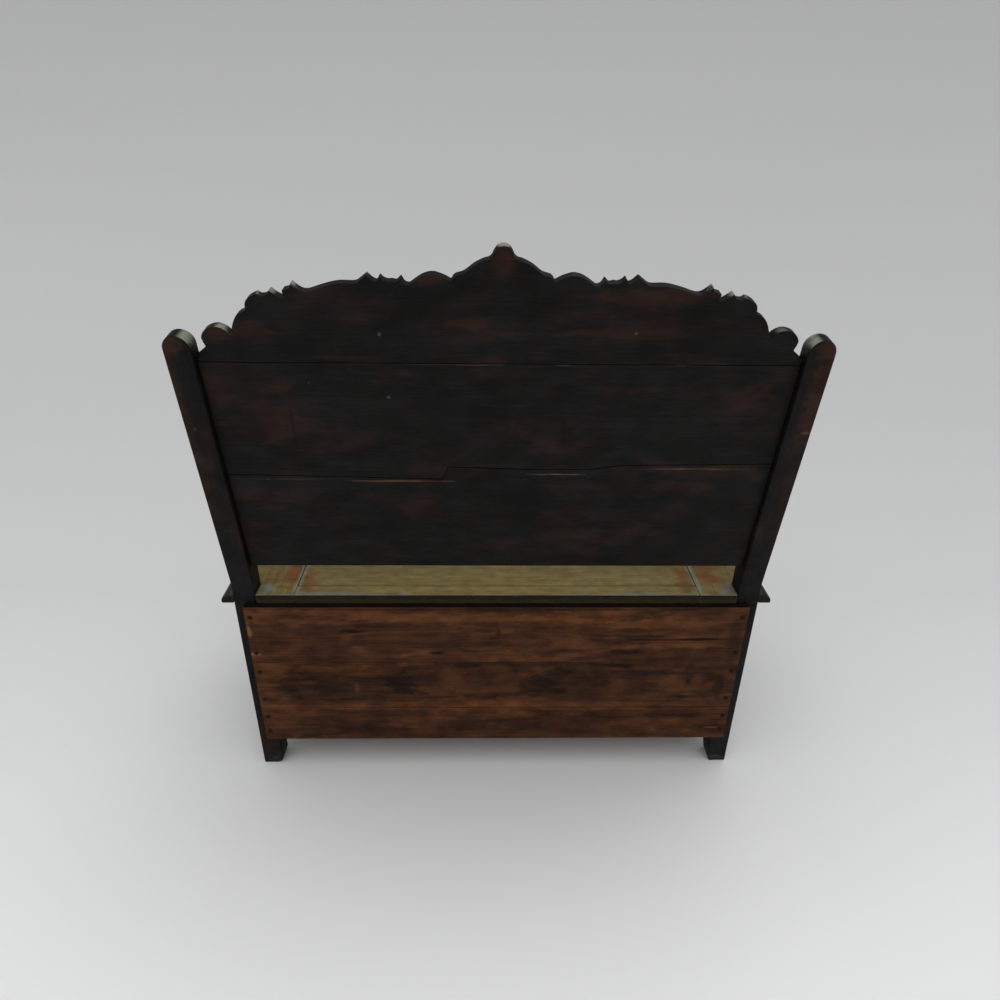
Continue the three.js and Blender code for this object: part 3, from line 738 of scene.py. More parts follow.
    def _aged(
        self, nodes: Nodes, effects: Effects, figure: bpy.types.Node, colour: Socket
    ) -> Socket:
        """Adds pores, saw marks, dirt and painted shade in corners, a dusting and painted highlights on
        what faces up, and rubbed edges.
        """
        pored = nodes.mix(nodes.times(figure.outputs["Pores"], PORE_TONE), colour, rgba(self.deep))
        if self.saw_amount:
            lines = nodes.mask(effects.saw, Place=nodes.object_place(), Spacing=SAW_SPACING)
            pored = nodes.mix(nodes.times(lines, self.saw_amount), pored, rgba(self.worn))
        # Corners and grooves darken to the deepest tone, as dirt and as painted shade.
        grime = nodes.mask(effects.grime, Reach=GRIME_AND_SHADE_REACH, Amount=GRIME_AND_SHADE_AMOUNT)
        dirty_and_shaded = nodes.mix(grime, pored, rgba(self.deep))
        # What faces up takes a dusting; on the smoked oak and the posts the same mask, leaning towards the
        # middle, paints a highlight.
        low, high = self.dust_and_highlight_range
        bloom = nodes.mask(effects.bloom, Lean=self.highlight_lean, From=low, To=high)
        open_share = nodes.math("SUBTRACT", 1.0, grime, clamp=True)
        dust_and_highlight_share = nodes.times(bloom, nodes.math("POWER", open_share, SHELTER_POWER))
        if self.highlight_marks:
            dust_and_highlight_share = nodes.times(dust_and_highlight_share, mark_mask(nodes, effects, self.highlight_marks))
        dusty_and_lit = nodes.mix(nodes.times(dust_and_highlight_share, self.dust_and_highlight_amount), dirty_and_shaded, rgba(self.dust_and_highlight))
        wear = nodes.mask(effects.wear, Amount=self.wear_amount)
        return nodes.mix(wear, dusty_and_lit, rgba(self.worn))


@dataclass(frozen=True)
class IronFinish:
    """Old forged iron with rust in patches."""

    name: str = "old_iron"
    metal: Colour = (0.03, 0.026, 0.024)
    rust: Colour = (0.06, 0.024, 0.012)
    metallic: float = 0.8
    sheen_level: float = 0.4

    def make(self, effects: Effects) -> bpy.types.Material:
        """Builds the material.

        Args:
            effects: The shared node groups.

        Returns:
            The material.
        """
        material, nodes, shader = new_material(self.name)
        rusty = nodes.mask(effects.patches, Place=nodes.object_place(), Scale=180.0, Cover=0.45)
        colour = nodes.mix(rusty, rgba(self.metal), rgba(self.rust))
        surface = {
            "Base Color": colour,
            "Specular IOR Level": self.sheen_level,
            "Metallic": nodes.ease(rusty, 0, 1, self.metallic, 0.1),
            "Roughness": nodes.ease(rusty, 0, 1, 0.55, 0.85),
        }
        nodes.feed(shader, surface)
        pitted = nodes.noise(nodes.object_place(), 900.0)
        add_bump(nodes, shader, pitted, PIT_DEPTH)
        return material


@dataclass(frozen=True)
class FloorFinish:
    """A matt floor that is paler behind the bench than in front of it, by place along Y in metres: a
    painted falloff of light.
    """

    name: str = "pale_floor"
    rough: float = 0.95
    falloff_tones: tuple[tuple[float, float], ...] = (
        (-6, 0.47),
        (-2, 0.5),
        (-0.5, 0.55),
        (0.1, 0.63),
        (0.65, 0.76),
    )

    def make(self) -> bpy.types.Material:
        """Builds the material.

        Returns:
            The material.
        """
        material, nodes, shader = new_material(self.name)
        split = nodes.fed("ShaderNodeSeparateXYZ", {"Vector": nodes.object_place()})
        tone = self.falloff_tones[0][1]
        for (start, lower), (end, upper) in zip(self.falloff_tones, self.falloff_tones[1:]):
            ends = {"From Min": start, "From Max": end, "To Max": upper - lower}
            step = nodes.fed("ShaderNodeMapRange", {"Value": split.outputs["Y"], **ends})
            tone = nodes.math("ADD", tone, step.outputs["Result"])
        nodes.feed(shader, {"Base Color": tone, "Roughness": self.rough, "Specular IOR Level": 0.0})
        return material


BACK_OAK = WoodFinish(
    name="smoked_oak",
    deep=(0.0032, 0.003, 0.0029),
    body=(0.0088, 0.008, 0.0073),
    warm=(0.024, 0.0098, 0.0058),
    worn=(0.085, 0.05, 0.028),
    # A pale painted highlight where light falls on the upper faces of the crest and boards, only at the
    # marks below.
    dust_and_highlight=(0.25, 0.25, 0.18),
    # Painted shade on the upper faces of the crest and boards, which take more light.
    top=(0.0025, 0.0024, 0.0023),
    marked_side=TOWARDS_THE_REAR,
    mottle=0.34,
    mottle_scale=34.0,
    warm_amount=0.45,
    dust_and_highlight_amount=0.9,
    highlight_lean=0.8,
    dust_and_highlight_range=(0.4, 0.85),
    wear_amount=0.08,
    saw_amount=0.012,
    sheen_level=0.1,
    warm_marks=behind(
        (50, 984, 80, 20, 0.9), (372, 970, 60, 30, 0.8), (350, 878, 60, 26, 0.7), (365, 835, 90, 40, 0.6),
        (-200, 1026, 170, 22, 0.8), (-115, 974, 80, 16, 0.9), (0, 1078, 40, 50, 0.7),
        (110, 1052, 60, 22, 0.7), (-390, 860, 110, 60, 0.5), (250, 930, 120, 8, 0.6),
        (-320, 690, 120, 30, 0.5),
    ),
    dark_marks=behind(
        (338, 800, 8, 100, 0.5), (-103, 805, 8, 70, 0.5), (150, 1000, 140, 34, 0.5),
        (-330, 960, 160, 40, 0.5), (240, 915, 460, 6, 0.8), (-240, 914, 460, 6, 0.6),
        (330, 935, 200, 30, 0.4),
    ),
    pale_marks=behind(
        (57, 920, 171, 4, 0.3), (-93, 920, 27, 4, 0.5), (-273, 921, 66, 4, 0.5), (380, 705, 240, 3, 0.25),
        (172, 702, 175, 4, 0.8), (-98, 717, 100, 3.5, 0.7), (-325, 729, 170, 3.5, 0.75),
        (184, 969, 7, 7, 1.0), (178, 863, 6, 6, 0.8), (301, 888, 6, 6, 0.6), (398, 705, 8, 6, 0.7),
        (-201, 972, 5, 5, 0.6),
    ),
    # Where that painted highlight shows: the finial and the lobes along the crest's upper edge.
    highlight_marks=behind(
        (-1, 1102, 50, 14, 1.0), (418, 972, 22, 30, 1.0), (299, 1050, 30, 26, 1.0),
        (335, 1038, 24, 20, 0.9), (355, 1034, 14, 16, 0.8), (-300, 1052, 28, 26, 1.0),
        (-340, 1040, 24, 20, 0.9), (-366, 1032, 26, 20, 0.9), (192, 1068, 24, 24, 0.7),
        (174, 1070, 12, 18, 0.5), (-196, 1068, 22, 20, 0.7), (-424, 972, 20, 24, 0.4),
    ),
)

POST_OAK = replace(
    BACK_OAK,
    name="post_oak",
    warm=(0.028, 0.0112, 0.0072),
    # A pale green painted highlight on the rounded upper ends of the posts.
    dust_and_highlight=(0.24, 0.26, 0.19),
    # A bluish painted highlight where the feet round off below.
    cool_highlight=(0.03, 0.034, 0.042),
    dust_and_highlight_amount=0.8,
    highlight_lean=1.3,
    dust_and_highlight_range=(0.66, 0.95),
    highlight_marks=behind((478, 975, 70, 60, 1.0), (-478, 975, 70, 60, 1.0)),
    wear_amount=0.25,
    warm_marks=behind(
        (510, 840, 34, 400, 0.6), (498, 955, 50, 50, 1.0), (-502, 880, 40, 220, 0.9),
        (-498, 950, 50, 60, 1.0), (-505, 640, 30, 260, 0.5),
    ),
    dark_marks=behind((470, 800, 14, 400, 0.6), (-470, 780, 12, 420, 0.5)),
    pale_marks=behind((492, 808, 6, 6, 0.8), (-502, 806, 24, 5, 0.6), (-512, 830, 12, 24, 0.5)),
    # Where the feet's painted highlight lies.
    cool_highlight_marks=behind((486, 6, 60, 34, 0.9), (-486, 6, 60, 34, 0.9)),
)

FRONT_OAK = WoodFinish(
    name="polished_oak",
    deep=(0.005, 0.0034, 0.0028),
    body=(0.03, 0.0165, 0.0105),
    warm=(0.062, 0.026, 0.012),
    worn=(0.14, 0.07, 0.032),
    dust_and_highlight=(0.06, 0.052, 0.04),
    mottle=0.3,
    mottle_scale=26.0,
    ring_contrast=0.55,
    dust_and_highlight_amount=0.05,
    rough=0.38,
    sheen_level=0.4,
)

BOX_PINE = WoodFinish(
    name="stained_pine",
    deep=(0.0075, 0.0045, 0.0042),
    body=(0.077, 0.0305, 0.013),
    warm=(0.125, 0.0465, 0.0165),
    worn=(0.24, 0.115, 0.05),
    dust_and_highlight=(0.028, 0.016, 0.014),
    # Painted shade on the upper edges of the rear boards and rail, under the seat.
    top=(0.0055, 0.0042, 0.004),
    marked_side=TOWARDS_THE_REAR,
    mottle=0.22,
    mottle_scale=42.0,
    dust_and_highlight_amount=0.0,
    ring_scale=14.0,
    ring_contrast=0.3,
    streak_scale=120.0,
    streak_contrast=0.55,
    warm_cover=0.5,
    warm_amount=0.5,
    wear_amount=0.12,
    rough=0.7,
    sheen_level=0.06,
    dark_marks=behind(
        (288, 368, 42, 11, 0.85), (124, 314, 40, 10, 0.85), (29, 368, 50, 9, 0.6), (-1, 361, 10, 28, 0.6),
        (-143, 318, 90, 10, 0.6), (-257, 316, 74, 11, 0.75), (-287, 353, 100, 9, 0.6),
        (419, 234, 60, 78, 0.55), (349, 229, 108, 80, 0.65), (186, 234, 82, 82, 0.8),
        (55, 283, 76, 15, 0.65), (59, 252, 28, 32, 0.6), (103, 199, 74, 12, 0.6), (14, 201, 42, 20, 0.6),
        (-98, 228, 106, 54, 0.7), (-127, 264, 76, 30, 0.75), (-240, 282, 74, 15, 0.85),
        (-301, 222, 28, 38, 0.55), (-392, 240, 12, 16, 0.8), (-380, 200, 56, 14, 0.6),
        (-455, 232, 28, 84, 0.65), (269, 121, 52, 44, 0.6), (60, 127, 136, 38, 0.6),
        (-54, 127, 128, 40, 0.6), (-194, 151, 46, 15, 0.6), (-368, 147, 188, 15, 0.55),
        (-470, 340, 30, 150, 0.4), (-340, 346, 250, 3.5, 1.0), (-420, 348, 130, 5, 0.9),
        # The band at z 420, just under the seat, is the seat's painted shadow with dirt.
        (0, 420, 1100, 7, 0.6), (400, 222, 150, 60, 0.6), (-30, 286, 420, 12, 0.5),
        (-300, 262, 260, 20, 0.5), (330, 284, 230, 12, 0.5), (0, 236, 1300, 110, 0.4),
        (0, 118, 1300, 70, 0.3),
    ),
    warm_marks=behind(
        (-352, 232, 66, 58, 0.8), (-412, 240, 30, 36, 0.6), (-250, 232, 42, 58, 0.5),
        (-18, 238, 54, 68, 0.5), (102, 233, 54, 58, 0.5), (4, 175, 940, 26, 0.55), (73, 400, 460, 20, 0.7),
        (-330, 385, 260, 26, 0.5), (-330, 330, 230, 14, 0.5),
    ),
    pale_marks=behind(
        (484, 369, 9, 34, 0.5), (480, 311, 24, 8, 0.6), (286, 223, 10, 30, 0.12), (-458, 112, 30, 4, 0.4),
        (395, 82, 30, 8, 0.4),
    ),
)

BARE_PINE = WoodFinish(
    name="bare_pine",
    deep=(0.09, 0.045, 0.022),
    body=(0.26, 0.15, 0.075),
    warm=(0.2, 0.1, 0.045),
    worn=(0.35, 0.22, 0.12),
    dust_and_highlight=(0.2, 0.17, 0.13),
    ring_scale=26.0,
    ring_contrast=0.5,
    rough=0.75,
    sheen_level=0.2,
)

SEAT_WAX = WoodFinish(
    name="waxed_seat",
    deep=(0.09, 0.066, 0.022),
    body=(0.198, 0.15, 0.053),
    warm=(0.15, 0.064, 0.019),
    worn=(0.17, 0.165, 0.12),
    dust_and_highlight=(0.2, 0.19, 0.15),
    # Painted shade: the seat's sides and rear edge are near-black against its upper face.
    edge=(0.0045, 0.0044, 0.0042),
    under=(0.16, 0.092, 0.046),
    # A pale bluish painted reflection of the sky along the seat's rear edge.
    cool_highlight=(0.15, 0.165, 0.17),
    mottle=0.16,
    mottle_scale=60.0,
    warm_cover=0.62,
    warm_amount=0.45,
    streak_scale=200.0,
    streak_contrast=0.6,
    dust_and_highlight_amount=0.0,
    rough=0.5,
    sheen_level=0.1,
    bump_depth=0.35 * MM,
    warm_marks=on_seat(
        (405, 100, 34, 110, 1.0), (430, 120, 60, 80, 0.35), (-418, 100, 60, 90, 0.85),
        (-372, 130, 34, 110, 0.9), (374, 130, 34, 70, 0.8),
    ),
    dark_marks=on_seat((398, 99, 8, 14, 0.9), (378, 140, 14, 30, 0.6), (-372, 150, 18, 40, 0.8)),
    # Pale strips along the lid's joints: worn arrises, with a painted highlight on them.
    pale_marks=on_seat((390, 120, 13, 260, 0.85), (-394, 120, 14, 260, 0.9)),
    # Where the painted reflection lies: along the rear edge and beside the joints near it.
    cool_highlight_marks=on_seat(
        (330, 178, 330, 16, 0.5), (450, 160, 40, 50, 0.6), (-300, 178, 300, 12, 0.4),
        (-455, 160, 36, 50, 0.6),
    ),
    # The same painted shade on the seat's outer rear corners, round the posts.
    edge_marks=on_seat((534, 172, 84, 120, 1.0), (-534, 172, 84, 120, 1.0)),
)


NAIL_IRON = IronFinish(
    name="stained_nail",
    metal=(0.016, 0.008, 0.006),
    rust=(0.034, 0.014, 0.0075),
    metallic=0.0,
    sheen_level=0.04,
)


class Palette:
    """The materials of the bench, each made once."""

    def __init__(self) -> None:
        """Builds the materials."""
        effects = Effects()
        self.back_oak = BACK_OAK.make(effects)
        self.post_oak = POST_OAK.make(effects)
        self.front_oak = FRONT_OAK.make(effects)
        self.box_pine = BOX_PINE.make(effects)
        self.bare_pine = BARE_PINE.make(effects)
        self.seat_wax = SEAT_WAX.make(effects)
        self.iron = IronFinish().make(effects)
        self.nail_iron = NAIL_IRON.make(effects)
        self.floor = FloorFinish().make()


# Dressing pieces of the frame


class Slot(Enum):
    """The record's material slots; each look names one, though nothing here reads it."""

    OAK = "dark_oak"
    PINE = "stained_pine"
    SEAT = "waxed_seat"


class Body(Enum):
    """The bodies that pieces ride on."""

    FRAME = "bench_frame"
    LID = "lid"


@dataclass(frozen=True)
class Look:
    """What a piece is made of, which way its grain runs and what it rides on."""

    material: bpy.types.Material
    slot: Slot
    grain: Grain
    body: Body = Body.FRAME


def both_sides(stem: str) -> tuple[str, str]:
    """The names of a pair of nodes."""
    return f"{stem}_right", f"{stem}_left"


def give_material(node: str, material: bpy.types.Material) -> None:
    """Gives a node of the frame, which stays shown, its material."""
    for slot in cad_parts[node].material_slots:
        slot.material = material


def frame_copy(node: str) -> Piece:
    """Copies a node of the frame as a merged mesh with large flat faces.

    Args:
        node: The node's name.

    Returns:
        The new object.
    """
    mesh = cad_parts[node].data.copy()
    mesh.materials.clear()
    piece = bpy.data.objects.new(f"{node}_finished", mesh)
    bpy.context.scene.collection.objects.link(piece)
    with editing(piece):
        bpy.ops.mesh.select_all(action="SELECT")
        bpy.ops.mesh.remove_doubles(threshold=MERGE_DISTANCE)
        bpy.ops.mesh.customdata_custom_splitnormals_clear()
        bpy.ops.mesh.dissolve_limited(angle_limit=FLAT_ANGLE)
    return piece


def bevel_selected(width: float, steps: int) -> None:
    """Rounds the selected edges, in edit mode, by a width and in so many steps."""
    bpy.ops.mesh.bevel(offset=width, segments=steps, profile=0.5, affect="EDGES", clamp_overlap=False)


def round_arrises(
    piece: Piece,
    width: float,
    shortest: float = 2.5 * MM,
    where: Callable[[bmesh.types.BMEdge], bool] = lambda edge: True,
) -> None:
    """Rounds the outer sharp edges of a piece.

    Args:
        piece: The mesh object.
        width: How far the rounding reaches from an edge.
        shortest: Edges shorter than this stay sharp, such as those of a nail's hole.
        where: A further test of an edge.
    """
    sharpest = math.radians(30)

    def is_arris(edge: bmesh.types.BMEdge) -> bool:
        """Tells whether an edge is sharp, turned outwards and long enough."""
        if len(edge.link_faces) != 2 or edge.calc_length() < shortest:
            return False
        return edge.calc_face_angle_signed() > sharpest and where(edge)

    with editing(piece):
        if select_where(piece, "EDGE", is_arris):
            bevel_selected(width, ARRIS_STEPS)


def smooth_facets(piece: Piece) -> None:
    """Turns a piece's facets into true curves and keeps its sharp edges and its large flat faces.

    Args:
        piece: The mesh object.
    """
    sharpest = math.radians(50)
    with editing(piece):
        select_where(
            piece,
            "EDGE",
            lambda edge: abs(edge.calc_face_angle_signed(0)) > sharpest
            or any(len(face.verts) > 4 for face in edge.link_faces),
        )
        bpy.ops.transform.edge_crease(value=1)
    apply_modifier(piece, "SUBSURF", levels=FACET_LEVELS, render_levels=FACET_LEVELS)


def wear_foot(piece: Piece, rounding: float, taper: float, height: float) -> None:
    """Rounds the inner bottom edge of a leg and wears its inner side away.

    Args:
        piece: The leg, with plain square edges.
        rounding: How far the rounding reaches from the inner bottom edge.
        taper: How far the bottom has lost its inner side.
        height: How high up the inner side is worn.
    """
    inner = min(abs(corner[0]) for corner in piece.bound_box)
    outwards = math.copysign(taper, piece.bound_box[0][0])
    with editing(piece):
        bpy.ops.mesh.select_all(action="SELECT")
        bpy.ops.mesh.bisect(plane_co=(0, 0, height), plane_no=(0, 0, 1))
        select_where(piece, "VERT", lambda point: point.co.z < MM and abs(point.co.x) < inner + MM)
        bpy.ops.transform.translate(value=(outwards, 0, 0))
        reach = inner + taper + MM
        select_where(
            piece,
            "EDGE",
            lambda edge: all(point.co.z < MM and abs(point.co.x) < reach for point in edge.verts),
        )
        bevel_selected(rounding, FOOT_STEPS)


@dataclass(frozen=True)
class Crack:
    """A crack that runs along the grain of a board, in its upright rear face."""

    start: Vector
    end: Vector
    width: float
    depth: float
    wander: float = 1.2 * MM
    start_share: float = 0.15
    cuts: int = 24

    def cut(self, board: Piece, seed: int) -> None:
        """Cuts the crack as a wedge that narrows to its start.

        Args:
            board: The board.
            seed: Picks how the crack wanders.
        """
        draw = random.Random(seed)
        bpy.ops.mesh.primitive_cube_add(size=1)
        blade = bpy.context.object
        with editing(blade):
            bpy.ops.mesh.select_all(action="SELECT")
            bpy.ops.transform.resize(value=(1, self.depth, self.width))
        with editing(blade):
            select_where(blade, "EDGE", lambda edge: abs(edge.verts[0].co.x - edge.verts[1].co.x) > 0.5)
            bpy.ops.mesh.subdivide(number_cuts=self.cuts)
        drift = [draw.uniform(-self.wander, self.wander) for _ in range(self.cuts + 2)]
        for point in blade.data.vertices:
            share = point.co.x + 0.5
            place_on_line = self.start.lerp(self.end, share)
            opened = self.start_share + (1 - self.start_share) * math.sqrt(share)
            sway = drift[round(share * (self.cuts + 1))]
            point.co = place_on_line + Vector((0, point.co.y, point.co.z * opened + sway))
        apply_modifier(board, "BOOLEAN", operation="DIFFERENCE", object=blade, solver="EXACT")
        bpy.data.objects.remove(blade)


def finish_piece(piece: Piece, look: Look, *nodes: str) -> Piece:
    """Gives a piece its shading, grain, material and body.

    Args:
        piece: The mesh object.
        look: Its material, slot, grain and body.
        nodes: The frame's nodes that it stands for.

    Returns:
        The piece.
    """
    smooth(piece)
    seed = sum(ord(letter) * (number + 1) for number, letter in enumerate(piece.name))
    lay_grain(piece, look.grain, seed)
    piece.data.materials.append(look.material)
    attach(piece, look.body.value)
    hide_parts(*nodes)
    log.info("%s: %d faces", piece.name, len(piece.data.polygons))
    return piece


def dress(node: str, look: Look, width: float) -> Piece:
    """Dresses one node with rounded edges and its look.

    Args:
        node: The node's name.
        look: Its material, slot, grain and body.
        width: How far the rounding reaches from its edges.

    Returns:
        The finished piece.
    """
    piece = frame_copy(node)
    round_arrises(piece, width)
    return finish_piece(piece, look, node)


# Carving of the crest's front, in mm: out from the middle and up from the crest's lower edge


VEIN_WIDTH = 1.4
SCROLL_STEPS = 12
SCROLL_CLOSING = 0.82
SCROLL_TAPER = 0.75
Place = tuple[float, float]


@dataclass(frozen=True)
class Rib:
    """A rounded rib along a smooth curve, which may taper and have a vein along its middle."""

    points: tuple[Place, ...]
    start: float
    end: float
    vein: float = 0.0

    def line(self) -> np.ndarray:
        """Runs a smooth curve through the points.

        Returns:
            Places about 1 mm apart.
        """
        given = [Vector(point) for point in self.points]
        padded = [2 * given[0] - given[1], *given, 2 * given[-1] - given[-2]]
        places = []
        for before, start, end, after in zip(padded, padded[1:], padded[2:], padded[3:]):
            steps = max(2, round((end - start).length))
            for step in range(steps):
                share = step / steps
                even = start * 2 + (end - before) * share
                bend = (before * 2 - start * 5 + end * 4 - after) * share**2
                twist = (start * 3 - before - end * 3 + after) * share**3
                places.append((even + bend + twist) / 2)
        return np.array([*places, given[-1]])

    def height(self, across: np.ndarray, up: np.ndarray) -> np.ndarray:
        """How far the rib stands up at each place, from 0 to 1.

        Args:
            across: Places out from the middle.
            up: Places up from the lower edge.

        Returns:
            The heights.
        """
        line = self.line()
        radii = np.linspace(self.start, self.end, len(line))
        result = np.zeros(len(across))
        reach = max(self.start, self.end)
        near = (across > line[:, 0].min() - reach) & (across < line[:, 0].max() + reach)
        near &= (up > line[:, 1].min() - reach) & (up < line[:, 1].max() + reach)
        gaps = np.hypot(across[near, None] - line[:, 0], up[near, None] - line[:, 1])
        nearest = np.argmin(gaps / radii, axis=1)
        gap = gaps[np.arange(len(gaps)), nearest]
        share = gap / radii[nearest]
        raised = np.sqrt(np.clip(1 - share**2, 0, 1))
        result[near] = raised - self.vein * np.exp(-((gap / VEIN_WIDTH) ** 2)) * (raised > 0)
        return result


def scroll(middle: Place, radius: float, turns: float, start: float, width: float, hand: int = 1) -> Rib:
    """A rib that winds inwards to a round eye.

    Args:
        middle: Its middle.
        radius: Its outer radius.
        turns: How often it winds.
        start: Where it begins, in degrees.
        width: Half its width where it begins.
        hand: 1 to wind to the left, -1 to the right.

    Returns:
        The rib.
    """
    steps = round(turns * SCROLL_STEPS)
    points = []
    for step in range(steps + 1):
        angle = math.radians(start) + hand * step / SCROLL_STEPS * math.tau
        reach = radius * (1 - SCROLL_CLOSING * step / steps)
        points.append((middle[0] + reach * math.cos(angle), middle[1] + reach * math.sin(angle)))
    return Rib(tuple(points), width, width * SCROLL_TAPER)


@dataclass(frozen=True)
class CrestCarving:
    """Scrolls, leaves and a shell in low relief, mirrored about the middle."""

    depth: float = 4.5 * MM
    rim: float = 9.0
    shell_middle: Place = (0.0, 50.0)
    shell_radius: float = 64.0
    shell_flutes: float = 5.5
    shell_half_turn: float = 1.85
    boss: float = 11.0
    bead: float = 3.2
    bead_height: float = 0.8
    bead_pitch: float = 9.0
    bead_line: float = 9.0
    leaf_width: float = 8.5
    leaf_tip: float = 1.8
    leaf_vein: float = 0.45
    rib_height: float = 0.9
    rim_slope: float = 3.5
    wall_facing: float = 0.6

    def ribs(self) -> tuple[Rib, ...]:
        """The scrolls, stems and leaves of one half."""
        leaves = (
            ((170, 78), (160, 98), (150, 124)),
            ((176, 78), (179, 100), (179, 126)),
            ((184, 78), (196, 98), (202, 125)),
            ((322, 62), (312, 84), (311, 112)),
            ((332, 58), (342, 78), (345, 102)),
            ((342, 54), (362, 70), (373, 94)),
            ((352, 46), (378, 54), (399, 58)),
            ((150, 34), (160, 48), (176, 56)),
            ((196, 30), (214, 44), (232, 46)),
            ((236, 34), (252, 20), (272, 19)),
            ((262, 40), (276, 56), (296, 58)),
            ((300, 36), (316, 22), (336, 20)),
        )
        stems = (
            Rib(((92, 130), (78, 112), (73, 90), (78, 64), (94, 42), (116, 34)), 5.5, 4.5),
            Rib(((128, 110), (132, 92), (148, 78), (172, 74), (196, 82), (212, 90)), 4.5, 4.0),
            Rib(((224, 108), (250, 104), (280, 94), (306, 78), (330, 58), (356, 44), (384, 42)), 5.5, 4.5),
            Rib(((116, 34), (150, 24), (190, 30), (230, 42), (270, 36), (310, 28), (350, 36)), 3.6, 3.0),
            Rib(((384, 42), (402, 34), (418, 28)), 4.5, 4.0),
        )
        scrolls = (
            scroll((108, 108), 20, 1.75, 130, 5.0, hand=-1),
            scroll((122, 52), 15, 1.5, 250, 4.2),
            scroll((216, 98), 14, 1.5, 60, 4.2),
            scroll((384, 30), 12, 1.25, 90, 4.0, hand=-1),
            scroll((436, 36), 15, 1.5, 210, 4.4, hand=-1),
        )
        leaf_ribs = (Rib(leaf, self.leaf_width, self.leaf_tip, self.leaf_vein) for leaf in leaves)
        return (*leaf_ribs, *stems, *scrolls)

    def _shell(self, across: np.ndarray, up: np.ndarray) -> np.ndarray:
        """A fluted shell that opens upwards from a round boss."""
        away = np.hypot(across - self.shell_middle[0], up - self.shell_middle[1])
        turn = np.arctan2(across - self.shell_middle[0], up - self.shell_middle[1])
        flute = np.abs(np.cos(turn * self.shell_flutes))
        edge = self.shell_radius * (0.9 + 0.1 * flute)
        share = away / edge
        fan = (0.25 + 0.65 * flute) * np.clip(share * 1.6, 0, 1) * np.clip((1 - share) * 9, 0, 1)
        fan *= np.clip((self.shell_half_turn - np.abs(turn)) * 8, 0, 1)
        boss = np.sqrt(np.clip(1 - (away / self.boss) ** 2, 0, 1))
        return np.maximum(fan, boss)

    def _beads(self, across: np.ndarray, up: np.ndarray) -> np.ndarray:
        """A row of beads along the lower edge."""
        along = (across + self.bead_pitch / 2) % self.bead_pitch - self.bead_pitch / 2
        gap = np.hypot(along, up - self.bead_line)
        return self.bead_height * np.sqrt(np.clip(1 - (gap / self.bead) ** 2, 0, 1))

    def height(self, across: np.ndarray, up: np.ndarray, from_edge: np.ndarray) -> np.ndarray:
        """The relief's height at each place, from 0 on the ground to 1 at the board's face.

        Args:
            across: Places out from the middle.
            up: Places up from the lower edge.
            from_edge: How far each place is from the board's outline.

        Returns:
            The heights.
        """
        rim = np.clip((self.rim - from_edge) / self.rim_slope, 0, 1)
        rim = rim * rim * (3 - 2 * rim) * (1 - 0.35 * np.clip(1 - from_edge / 3, 0, 1))
        result = np.maximum(rim, self._shell(across, up))
        result = np.maximum(result, self._beads(across, up))
        for rib in self.ribs():
            result = np.maximum(result, self.rib_height * rib.height(across, up))
        return result

    def cut(self, board: Piece) -> None:
        """Carves the upright board's front, which faces -Y.

        Args:
            board: The board, with its surface evenly divided.
        """
        mesh = board.data
        places, facing = (np.empty((len(mesh.vertices), 3)) for _ in range(2))
        mesh.vertices.foreach_get("co", places.reshape(-1))
        mesh.vertices.foreach_get("normal", facing.reshape(-1))
        walls = np.nonzero(np.abs(facing[:, 1]) < self.wall_facing)[0]
        outline = KDTree(len(walls))
        for index in walls:
            outline.insert((places[index, 0], 0, places[index, 2]), int(index))
        outline.balance()
        front = places[:, 1].min()
        chosen = np.nonzero(places[:, 1] < front + MM)[0]
        gaps = [outline.find((places[index, 0], 0, places[index, 2]))[2] for index in chosen]
        across = np.abs(places[chosen, 0]) / MM
        up = (places[chosen, 2] - places[:, 2].min()) / MM
        raised = self.height(across, up, np.array(gaps) / MM)
        places[chosen, 1] = front + self.depth * (1 - raised)
        mesh.vertices.foreach_set("co", places.ravel())
        mesh.update()


# Sub-assemblies


